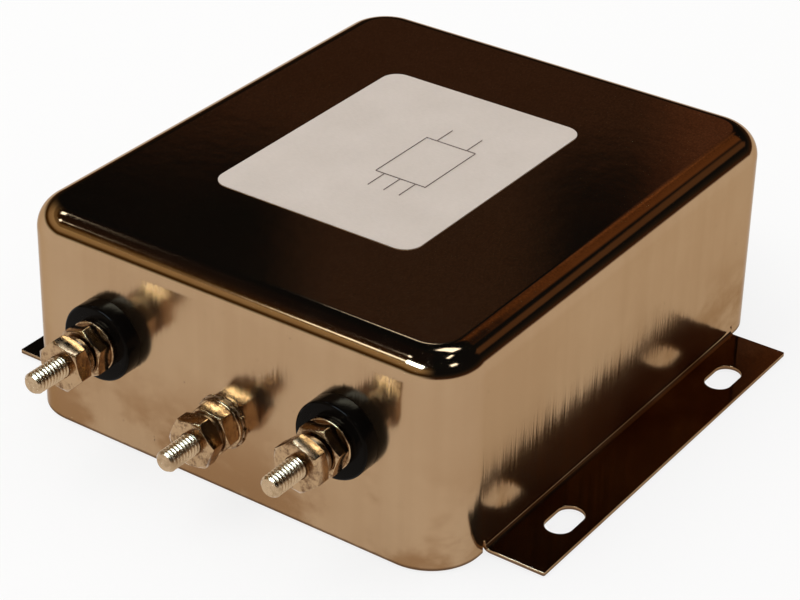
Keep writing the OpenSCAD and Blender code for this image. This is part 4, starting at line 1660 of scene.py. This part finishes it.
@dataclass
class Terminals:
    """Insulators, studs, washers, nuts and lock washers at both ends.

    Turns are in degrees round the stud: on an end's first and second stud, and on earth.
    """

    housing: Housing
    neck_radius: float = 4.2
    neck_reach: float = 1.4
    socket_radius: float = 4.3
    socket_floor: float = 1.5
    washer_bore: float = 4.4
    flats: float = 8.73
    nut_height: float = 3.3
    head_height: float = 3.2
    head_overlap: float = 0.2
    chamfer: float = 0.42
    bore: float = 3.9
    softening: float = 0.05
    lock_radius: float = 3.8
    lock_section: float = 1.1
    lock_play: float = 0.05
    lock_edge: float = 0.08
    open_rise: float = 0.3
    open_gap: float = 6.0
    closed_gap: float = 9.0
    teeth: int = 14
    tooth_columns: int = 8
    tooth_width: int = 6
    tooth_depth: float = 0.45
    tooth_gap_rise: float = 0.15
    tooth_sheet: float = 0.7
    tooth_softening: float = 0.04
    insulator_faces: int = 96
    washer_faces: int = 72
    lock_faces: int = 60
    plain_turns: Triple = (90.0, 90.0, 90.0)
    stud_turns: Triple = (90.0, 60.0, 90.0)
    inner_turns: Triple = (37.5, 48.0, 10.0)
    outer_turns: Triple = (15.5, 21.0, 53.0)
    lock_turns: Triple = (-50.0, -50.0, 20.0)

    def __post_init__(self) -> None:
        """Takes the wall's place from the housing and builds the tree of the copies."""
        self.wall = self.housing.half_l
        self.copies = FastenerCopies()

    def span(self, node: str) -> Pair:
        """Heights of a node's near and far faces above its end wall."""
        near, far = sorted(abs(float(corner[0])) for corner in box_mm(node))
        return near - self.wall, far - self.wall

    def radius(self, node: str) -> float:
        """Outer radius of a round node."""
        lo, hi = box_mm(node)
        return float(hi[2] - lo[2]) / 2

    def seats(self, node: str, level: float, turns: Triple) -> list[Seat]:
        """Places of a node's copies: one on the earth stud, or one on each insulated stud.

        Args:
            node: Name of the node, which starts with its end or with earth.
            level: Height above the wall.
            turns: Turns on the first, second and earth stud.

        Returns:
            The seats.
        """
        start = node.split("_")[0]
        if start == "earth":
            return [Seat(End.LINE, 0.0, self.housing.earth_z, level, turns[2])]
        return [Seat(End(start), side * self.housing.term_y, self.housing.term_z, level, turn)
                for side, turn in zip((1, -1), turns)]

    def stand(self, node: str, made_by: str, blank: Form, level: float, turns: Triple,
              finish: Dressing, slot: str = "hardware") -> None:
        """Stands copies of a fastener on the wall in place of a node.

        Args:
            node: CAD node that they replace.
            made_by: End of the piece's name, which tells how it is made.
            blank: Shape of one fastener, standing on z = 0.
            level: Height above the wall.
            turns: Turns on the first, second and earth stud.
            finish: Their finish.
            slot: Handed on to deliver, which does not use it.
        """
        poses = [seat.pose(self.wall) for seat in self.seats(node, level, turns)]
        made = self.copies.placed(f"{node}_{made_by}", blank, poses, finish.made())
        deliver(made, slot, None, node)

    def insulators(self) -> None:
        """Builds the outer insulators with their necks, and the inner ones that take them in."""
        b, neck, reach = self.washer_bore / 2, self.neck_radius, self.neck_reach
        r, (_, top) = self.radius("line_insulators_outer"), self.span("line_insulators_outer")
        outer = lathe(rounded(
            [(b, -reach), (neck, -reach), (neck, 0.0), (r, 0.0), (r, top), (b, top)],
            [0.1, 0.2, 0.0, 0.12, 0.55, 0.2], 4), self.insulator_faces)
        r, (end, _) = self.radius("line_insulators_inner"), self.span("line_insulators_inner")
        back, socket, floor = -self.housing.sheet, self.socket_radius, -self.socket_floor
        inner = lathe(rounded(
            [(socket, back), (socket, floor), (b, floor), (b, end), (r, end), (r, back)],
            [0.05, 0.05, 0.05, 0.1, 0.5, 0.12], 3), self.insulator_faces)
        for side in End:
            for place, blank in (("outer", outer), ("inner", inner)):
                node = f"{side.value}_insulators_{place}"
                self.stand(node, "turned", outward(blank), 0.0, self.plain_turns,
                           SHOP.insulator, "insulator")

    def washers(self) -> None:
        """Builds the flat washers and the tooth washer."""
        b = self.washer_bore / 2
        for node in ("line_washers", "load_washers", "earth_washer"):
            low, high = self.span(node)
            r, t = self.radius(node), high - low
            blank = lathe(rounded([(b, 0), (r, 0), (r, t), (b, t)], [0.05, 0.06, 0.22, 0.12], 3),
                          self.washer_faces)
            self.stand(node, "pressed", blank, low, self.plain_turns, SHOP.nuts)
        node = "earth_tooth_washer"
        low, high = self.span(node)
        blank = self.tooth_washer(self.radius(node), high - low)
        self.stand(node, "pressed", blank, 0.0, self.plain_turns, SHOP.spring)

    def tooth_washer(self, r: float, t: float) -> Form:
        """Washer with twisted teeth round its edge.

        Args:
            r: Outer radius.
            t: Height that the twisted teeth take.

        Returns:
            A closed shape.
        """
        b, root = self.washer_bore / 2, r - self.tooth_depth
        count = self.teeth * self.tooth_columns
        sheet = t * self.tooth_sheet
        low, high = t / 2 - sheet / 2, t / 2 + sheet / 2
        columns = []
        for k in range(count):
            a, step = 2 * math.pi * k / count, k % self.tooth_columns
            tip, twist = root + self.tooth_gap_rise, 0.0
            if step < self.tooth_width:
                tip, twist = r, (step / (self.tooth_width - 1) - 0.5) * (t - sheet)
            section = [(b, low), (root, low), (tip, low + twist), (tip, high + twist),
                       (root, high), (b, high)]
            columns.append([(q * math.cos(a), q * math.sin(a), z) for q, z in section])
        points = [p for row in zip(*columns) for p in row]
        faces = bands(len(section), count, True)
        return softened(outward(Form(np.array(points), faces)), self.tooth_softening)

    def nuts(self) -> None:
        """Builds the nuts of all five terminals."""
        blank = hex_body(self.flats, self.nut_height, self.chamfer, self.bore)
        blank = softened(outward(blank), self.softening)
        for which, turns in (("inner", self.inner_turns), ("outer", self.outer_turns)):
            for node in (f"line_{which}_nuts", f"load_{which}_nuts", f"earth_{which}_nut"):
                self.stand(node, "cut", blank, self.span(node)[0], turns, SHOP.nuts)

    def lock_washers(self) -> None:
        """Builds the split spring washers, open on the insulated studs and closed on earth."""
        for node in ("line_lock_washers", "load_lock_washers", "earth_lock_washer"):
            low, high = self.span(node)
            blank = self.lock_washer(high - low)
            self.stand(node, "coiled", blank, low, self.lock_turns, SHOP.spring)

    def lock_washer(self, tall: float) -> Form:
        """Split washer whose ends stand apart in height when it isn't pressed flat.

        Args:
            tall: Height that it takes on its stud.

        Returns:
            A closed shape.
        """
        thick = min(self.lock_section, tall - self.lock_play)
        ri, ro, rise = self.washer_bore / 2, self.lock_radius, tall - thick
        section = rounded([(ri, 0), (ro, 0), (ro, thick), (ri, thick)], [self.lock_edge] * 4, 2)
        gap = math.radians(self.open_gap if rise > self.open_rise else self.closed_gap)

        def path(share: float) -> tuple[np.ndarray, np.ndarray]:
            """Centre of the spring's turn, and the outward direction there."""
            a = gap + (2 * math.pi - 2 * gap) * share
            return np.array([0, 0, rise * share]), np.array([math.cos(a), math.sin(a), 0])

        return outward(swept_ring(section, path, self.lock_faces))

    def studs(self) -> None:
        """Builds the threaded studs with their inner hexagon heads."""
        rod = ThreadedStud()
        for node in ("line_studs", "load_studs", "earth_stud"):
            inner, tip = self.span(node)
            head = softened(outward(hex_body(self.flats, self.head_height, self.chamfer)),
                            self.softening).moved(UNTURNED, (0, 0, inner))
            form = rod.form(inner + self.head_height - self.head_overlap, tip).joined(head)
            self.stand(node, "rolled", form, 0.0, self.stud_turns, SHOP.studs, "stud")

    def build(self) -> None:
        """Builds and dresses everything on the end walls."""
        self.insulators()
        self.washers()
        self.nuts()
        self.lock_washers()
        self.studs()


# ---------------------------------------------------------------- inside

class ChokeWinding(ShapeTree):
    """Thick wire that is wound round a ring core with a squared section."""

    def __init__(self) -> None:
        """Builds the tree."""
        super().__init__("choke_winding")
        turns, covered, middle = (self.size(n) for n in ("Turns", "Covered angle", "Middle radius"))
        reach, rise = self.size("Half width"), self.size("Half height")
        wire, lift, side = self.size("Wire radius"), self.size("Centre height"), self.size("Side")
        count, sides = self.size("Points", "NodeSocketInt"), self.size("Wire sides", "NodeSocketInt")
        line = self.add("GeometryNodeMeshLine", {"Count": count})
        index = self.add("GeometryNodeInputIndex").outputs[0]
        share = self.math("DIVIDE", index, self.math("SUBTRACT", count, 1.0))
        along = self.math("ADD", QUARTER,
                          self.math("MULTIPLY", covered, self.math("SUBTRACT", 0.5, share)))
        a = self.math("MULTIPLY", self.math("MULTIPLY", turns, share), 2 * math.pi)
        out = self.math("MULTIPLY", reach, self.squared(self.math("COSINE", a)))
        up = self.math("MULTIPLY", rise, self.squared(self.math("SINE", a)))
        r = self.math("MULTIPLY", self.math("ADD", middle, out), side)
        spot = self.xyz(self.math("MULTIPLY", r, self.math("COSINE", along)),
                        self.math("MULTIPLY", r, self.math("SINE", along)), self.math("ADD", lift, up))
        moved = self.add("GeometryNodeSetPosition", {"Geometry": line.outputs[0], "Position": spot})
        section = self.add("GeometryNodeCurvePrimitiveCircle", {"Resolution": sides, "Radius": wire})
        self.carry(section, moved.outputs[0], SHOP.copper.made())

    def squared(self, value: bpy.types.NodeSocket, power: float = 0.4) -> bpy.types.NodeSocket:
        """Squares off a sine or cosine; a power of 1 would leave it as it is."""
        size = self.math("POWER", self.math("ABSOLUTE", value), power)
        return self.math("MULTIPLY", self.math("SIGN", value), size)


@dataclass
class Choke:
    """Ring core in its cup with two windings and the holder between them."""

    core_od: float = 41.0
    core_id: float = 25.0
    core_h: float = 14.0
    core_edge: float = 2.2
    core_faces: int = 96
    turns: int = 9
    span: float = 144.0
    wire: float = 2.2
    wire_sides: int = 14
    points_per_turn: int = 28
    wire_crease: float = 50.0
    gap: float = 0.25

    def __post_init__(self) -> None:
        """Reads the core's height from the frame."""
        lo, hi = box_mm("choke_core")
        self.z = float(lo[2] + hi[2]) / 2

    def windings(self) -> None:
        """Winds the two halves of the choke, half a turn apart."""
        tree = ChokeWinding()
        ring = (self.core_od - self.core_id) / 4
        for name, node, side in (("winding_first", "winding_a", 1.0),
                                 ("winding_second", "winding_b", -1.0)):
            made = tree.run(in_scene(name), {
                "Turns": float(self.turns), "Covered angle": math.radians(self.span),
                "Middle radius": (self.core_od + self.core_id) / 4 * MM,
                "Half width": (ring + self.gap + self.wire / 2) * MM,
                "Half height": (self.core_h / 2 + self.gap + self.wire / 2) * MM,
                "Wire radius": self.wire / 2 * MM, "Centre height": self.z * MM, "Side": side,
                "Points": self.turns * self.points_per_turn + 1, "Wire sides": self.wire_sides},
                self.wire_crease)
            deliver(made, "copper_wire", None, node)

    def build(self) -> None:
        """Builds and dresses the choke."""
        a, b, h = self.core_id / 2, self.core_od / 2, self.core_h / 2
        profile = rounded([(a, -h), (b, -h), (b, h), (a, h)], [self.core_edge] * 4, 4)
        core = lathe(profile, self.core_faces).moved(UNTURNED, (0, 0, self.z))
        deliver(core.as_object("core_ring"), "core", SHOP.core.made(), "choke_core")
        self.windings()
        dress_node("choke_cup", SHOP.cup.made())
        dress_node("choke_holder", SHOP.nylon.made())


@dataclass
class Components:
    """Capacitors, resistor, leads, lugs, liner and resin inside the can."""

    x_edge: float = 0.7
    y_size: Pair = (5.0, 10.0)
    y_edge: float = 1.1
    box_faces: int = 4
    cap_length: float = 1.8
    cap_taper: float = 0.4
    waist: float = 0.88
    resistor_faces: int = 40

    def x_capacitors(self) -> None:
        """Builds the cases of the two capacitors between the conductors."""
        for node in ("x_cap_line", "x_cap_load"):
            lo, hi = box_mm(node)
            case = soft_box(hi - lo, self.x_edge, self.box_faces).moved(UNTURNED, (lo + hi) / 2)
            deliver(case.as_object(node + "_case"), "x_cap", SHOP.x_case.made(), node)

    def y_capacitors(self) -> None:
        """Builds the coated cases of the two capacitors to earth, at the LINE end."""
        lo, hi = box_mm("y_caps")
        size = np.array([*self.y_size, hi[2] - lo[2]])
        first, second = (
            soft_box(size, self.y_edge, self.box_faces).moved(
                UNTURNED, np.array([lo[0], y, lo[2]]) + size / 2)
            for y in (lo[1], hi[1] - size[1]))
        coated = first.joined(second).as_object("y_caps_coated")
        deliver(coated, "y_cap", SHOP.y_coat.made(), "y_caps")

    def resistor(self) -> None:
        """Builds the resistor's body, with an end cap at each end of its waist."""
        lo, hi = box_mm("bleed_resistor")
        r, half = float(hi[0] - lo[0]) / 2, float(hi[1] - lo[1]) / 2
        cap, waist = self.cap_length, self.cap_length + self.cap_taper
        body = lathe(rounded([(0, -half), (r, -half), (r, -half + cap), (r * self.waist, -half + waist),
                              (r * self.waist, half - waist), (r, half - cap), (r, half), (0, half)],
                             [0, 0.6, 0.3, 0.2, 0.2, 0.3, 0.6, 0], 4), self.resistor_faces)
        lay = np.array([[1.0, 0, 0], [0, 0, 1], [0, -1, 0]])
        made = outward(body.moved(lay, (lo + hi) / 2)).as_object("resistor_body")
        deliver(made, "resistor", SHOP.resistor.made(), "bleed_resistor")

    def build(self) -> None:
        """Builds and dresses everything round the choke."""
        self.x_capacitors()
        self.y_capacitors()
        self.resistor()
        for node, finish in (("line_lugs", SHOP.lugs), ("load_lugs", SHOP.lugs),
                             ("earth_lug", SHOP.lugs), ("line_leads", SHOP.copper),
                             ("load_leads", SHOP.copper), ("component_wires", SHOP.tinned),
                             ("insulating_liner", SHOP.liner), ("potting_resin", SHOP.resin)):
            dress_node(node, finish.made())


# ---------------------------------------------------------------- studio

@dataclass(frozen=True)
class Window:
    """A bright patch that polished metal sees around it.

    All angles are in degrees: azimuth from +X towards +Y, elevation above the horizon, and
    half the width and height. Soft is the share of its half size over which its edge fades.
    """

    azimuth: float
    elevation: float
    half_width: float
    half_height: float
    colour: Colour
    soft: float = 0.15

    def direction(self) -> tuple[np.ndarray, np.ndarray, np.ndarray]:
        """Works out where the window is.

        Returns:
            Direction of its middle, of its width and of its height.
        """
        az, el = math.radians(self.azimuth), math.radians(self.elevation)
        middle = np.array([math.cos(el) * math.cos(az), math.cos(el) * math.sin(az), math.sin(el)])
        wide = np.array([-math.sin(az), math.cos(az), 0.0])
        return middle, wide, np.cross(middle, wide)


@dataclass(frozen=True)
class Room:
    """The dark room with soft windows that metal reflects, and the soft light outside it.

    The ramps give the room's colour by the angle above the horizon in degrees, on the side
    that faces the line azimuth and on the far side.
    """

    light: Colour = (1.0, 0.985, 0.97)
    strength: float = 0.8
    line_azimuth: float = 135.0
    line_reach: Pair = (0.15, 0.75)
    windows: tuple[Window, ...] = (
        Window(36, 38, 2.2, 1.6, (2, 2.39, 2.86), 0.35),
        Window(6, 66, 9.0, 6.0, (3.72, 4.51, 5.5)),
        Window(-73, 71, 6.5, 2.2, (3.15, 3.81, 4.62)),
        Window(-101, 45, 6.0, 3.4, (3.43, 4.16, 5.06)),
        Window(135.5, 54.5, 3.2, 2.4, (3.43, 4.16, 5.06)),
        Window(80, 48, 4.2, 3.4, (3.43, 4.16, 5.06)),
        Window(115, 44, 3.2, 2.8, (2.86, 3.45, 4.18)),
        Window(168, 40.8, 15.4, 4.8, (16.5, 26.0, 37.0), 0.12),
        Window(145, 37.4, 4.2, 1.6, (3.15, 3.72, 4.18), 0.3),
        Window(6, 38.5, 13, 4.5, (0.172, 0.0673, 0.0176), 0.3),
        Window(20, 33, 4.0, 3.6, (0.143, 0.062, 0.026), 0.4),
        Window(25.2, 27, 2.0, 3.4, (0.1, 0.041, 0.022), 0.5),
        Window(32.5, 24.6, 7.5, 2.6, (0.0643, 0.0325, 0.02), 0.35),
        Window(33.8, 30.4, 2.8, 3.0, (0.0543, 0.031, 0.02), 0.35),
        Window(-28, 30, 10, 5.0, (0.126, 0.0637, 0.0264), 0.35),
    )
    line_side: tuple[tuple[float, Colour], ...] = (
        (3.5, (1.0, 1.0, 1.0)), (7.0, (0.498, 0.52, 0.48)), (10.0, (0.107, 0.0708, 0.0198)),
        (12.5, (0.0558, 0.0221, 0.0022)), (16.0, (0.126, 0.0708, 0.0198)),
        (18.5, (0.272, 0.212, 0.112)), (21.5, (0.448, 0.336, 0.198)), (31.0, (0.551, 0.45, 0.279)),
        (33.5, (0.257, 0.186, 0.101)), (38.0, (0.229, 0.168, 0.088)), (41.0, (0.0758, 0.0425, 0.011)),
        (45.0, (0.04, 0.021, 0.011)), (59.0, (0.0124, 0.0105, 0.0115)))
    far_side: tuple[tuple[float, Colour], ...] = (
        (-1.0, (1.0, 1.0, 1.0)), (3.5, (0.0858, 0.038, 0.018)), (12.0, (0.0286, 0.0235, 0.02)),
        (20.0, (0.01, 0.0115, 0.0145)), (60.0, (0.00858, 0.0105, 0.0135)))

    def build(self) -> None:
        """Makes the world: glossy rays see the room, and all other rays the soft light."""
        world = bpy.data.worlds.new("studio")
        bpy.context.scene.world = world
        world.use_nodes = True
        world.cycles.sampling_method = "NONE"
        g = Graph(world.node_tree)
        g.tree.nodes.clear()
        ray = g.add("ShaderNodeTexCoord").outputs["Generated"]
        x, y, z = g.parts(ray)
        level = g.vector("NORMALIZE", g.xyz(x, y, 0.0)).outputs[0]
        a = math.radians(self.line_azimuth)
        facing = g.vector("DOT_PRODUCT", level, (math.cos(a), math.sin(a), 0.0)).outputs["Value"]
        side = g.remap(facing, *self.line_reach, 0, 1, True)
        seen = g.mixed(side, self.ramp(g, z, self.far_side), self.ramp(g, z, self.line_side))
        for window in self.windows:
            seen = self.lit(g, ray, window, seen)
        glossy = g.add("ShaderNodeLightPath").outputs["Is Glossy Ray"]
        soft = g.add("ShaderNodeBackground", {"Color": (*self.light, 1), "Strength": self.strength})
        room = g.add("ShaderNodeBackground", {"Color": seen, "Strength": 1.0})
        both = g.add("ShaderNodeMixShader", {0: glossy, 1: soft.outputs[0], 2: room.outputs[0]})
        g.add("ShaderNodeOutputWorld", {0: both.outputs[0]})

    def ramp(self, g: Graph, height: bpy.types.NodeSocket,
             stops: Sequence[tuple[float, Colour]]) -> bpy.types.NodeSocket:
        """Colours the surroundings by height above the horizon.

        Args:
            g: The world's tree.
            height: Sine of the height angle.
            stops: Angle in degrees and colour, in order.

        Returns:
            Colour socket.
        """
        node = g.add("ShaderNodeValToRGB", {0: g.remap(height, -1, 1, 0, 1)})
        ramp = node.color_ramp
        while len(ramp.elements) < len(stops):
            ramp.elements.new(0.5)
        for element, (angle, colour) in zip(ramp.elements, stops):
            element.position = (math.sin(math.radians(angle)) + 1) / 2
            element.color = (*colour, 1)
        return node.outputs[0]

    def lit(self, g: Graph, ray: bpy.types.NodeSocket, window: Window,
            under: bpy.types.NodeSocket) -> bpy.types.NodeSocket:
        """Adds one window to the surroundings.

        Args:
            g: The world's tree.
            ray: Direction that is looked along.
            window: The window.
            under: Colour so far.

        Returns:
            Colour with the window added.
        """
        middle, *sides = window.direction()
        spreads = []
        for way, half in zip(sides, (window.half_width, window.half_height)):
            off = g.math("ABSOLUTE", g.vector("DOT_PRODUCT", ray, tuple(way)).outputs["Value"])
            spreads.append(g.math("DIVIDE", off, math.sin(math.radians(half))))
        mask = g.remap(g.math("MAXIMUM", *spreads), 1 - window.soft, 1 + window.soft, 1, 0, True)
        ahead = g.vector("DOT_PRODUCT", ray, tuple(middle)).outputs["Value"]
        mask = g.math("MULTIPLY", mask, g.math("GREATER_THAN", ahead, 0.0))
        tint = g.vector("SCALE", window.colour)
        g.put(tint.inputs["Scale"], mask)
        return g.vector("ADD", under, tint.outputs[0]).outputs[0]


@dataclass
class Studio:
    """Camera, floor and lamp, in metres, round the filter in its room."""

    lens: float = 111.77
    sensor: float = 36.0
    shift: Pair = (0.03838, -0.04649)
    clip: Pair = (0.01, 20.0)
    eye: Triple = (-0.337668, -0.22882, 0.255566)
    yaw: float = 35.103
    pitch: float = -29.974
    roll: float = 0.918
    floor_half: float = 30.0
    floor_drop: float = 0.0003
    floor_white: float = 0.9
    floor_glow: float = 0.8
    lamp_size: float = 0.9
    lamp_power: float = 4.2
    lamp_colour: Colour = (1.0, 0.98, 0.95)
    lamp_place: Triple = (-0.35, 0.45, 1.1)

    def camera(self) -> None:
        """Sets up the camera."""
        y, p, r = (math.radians(a) for a in (self.yaw, self.pitch, self.roll))
        ahead = np.array([math.cos(p) * math.cos(y), math.cos(p) * math.sin(y), math.sin(p)])
        right = unit(np.cross(ahead, ALONG_Z))
        up = np.cross(right, ahead)
        turned_right = math.cos(r) * right + math.sin(r) * up
        turned_up = -math.sin(r) * right + math.cos(r) * up
        data = bpy.data.cameras.new("camera")
        data.lens, data.sensor_width = self.lens, self.sensor
        data.shift_x, data.shift_y = self.shift
        data.clip_start, data.clip_end = self.clip
        eye = in_scene("camera", data)
        rows = np.column_stack([turned_right, turned_up, -ahead, self.eye])
        eye.matrix_world = Matrix([*rows.tolist(), (0, 0, 0, 1)])
        bpy.context.scene.camera = eye

    def floor(self) -> None:
        """Lays the pale paper that the filter stands on."""
        thing = in_scene("floor")
        s, z = self.floor_half, -self.floor_drop
        thing.data.from_pydata([(-s, -s, z), (s, -s, z), (s, s, z), (-s, s, z)], [], [(0, 1, 2, 3)])
        thing.data.materials.append(self.paper())

    def paper(self) -> bpy.types.Material:
        """Makes the paper, which camera, glossy and transmission rays see nearly white.

        Returns:
            The material; it also takes the filter's shadow.
        """
        paper = bpy.data.materials.new("pale_paper")
        paper.use_nodes = True
        g = Graph(paper.node_tree)
        g.tree.nodes.clear()
        path = g.add("ShaderNodeLightPath")
        matte = g.add("ShaderNodeBsdfDiffuse", {"Color": (*[self.floor_white] * 3, 1)})
        glow = g.add("ShaderNodeEmission", {"Color": (1, 1, 1, 1), "Strength": 1.0})
        seen = path.outputs["Is Camera Ray"]
        for kind in ("Is Glossy Ray", "Is Transmission Ray"):
            seen = g.math("MAXIMUM", seen, path.outputs[kind])
        both = g.add("ShaderNodeMixShader", {
            0: g.math("MULTIPLY", seen, self.floor_glow), 1: matte.outputs[0], 2: glow.outputs[0]})
        g.add("ShaderNodeOutputMaterial", {0: both.outputs[0]})
        return paper

    def lamp(self) -> None:
        """Hangs one large soft lamp above the LINE end, which glossy rays don't see."""
        data = bpy.data.lights.new("soft_lamp", "AREA")
        data.shape, data.size, data.energy = "DISK", self.lamp_size, self.lamp_power
        data.color = self.lamp_colour
        thing = in_scene("soft_lamp", data)
        thing.location = self.lamp_place
        thing.rotation_euler = (-Vector(self.lamp_place)).to_track_quat("-Z", "Y").to_euler()
        thing.visible_glossy = False

    def build(self) -> None:
        """Sets up the whole studio."""
        self.camera()
        self.floor()
        Room().build()
        self.lamp()
        bpy.context.scene.view_settings.view_transform = "Standard"


def main() -> None:
    """Builds the filter piece by piece."""
    logging.basicConfig(level=logging.INFO, format="%(message)s")
    Studio().build()
    housing = Housing()
    housing.build()
    RatingLabel().build()
    Terminals(housing).build()
    Choke().build()
    Components().build()


if __name__ == "__main__":
    main()
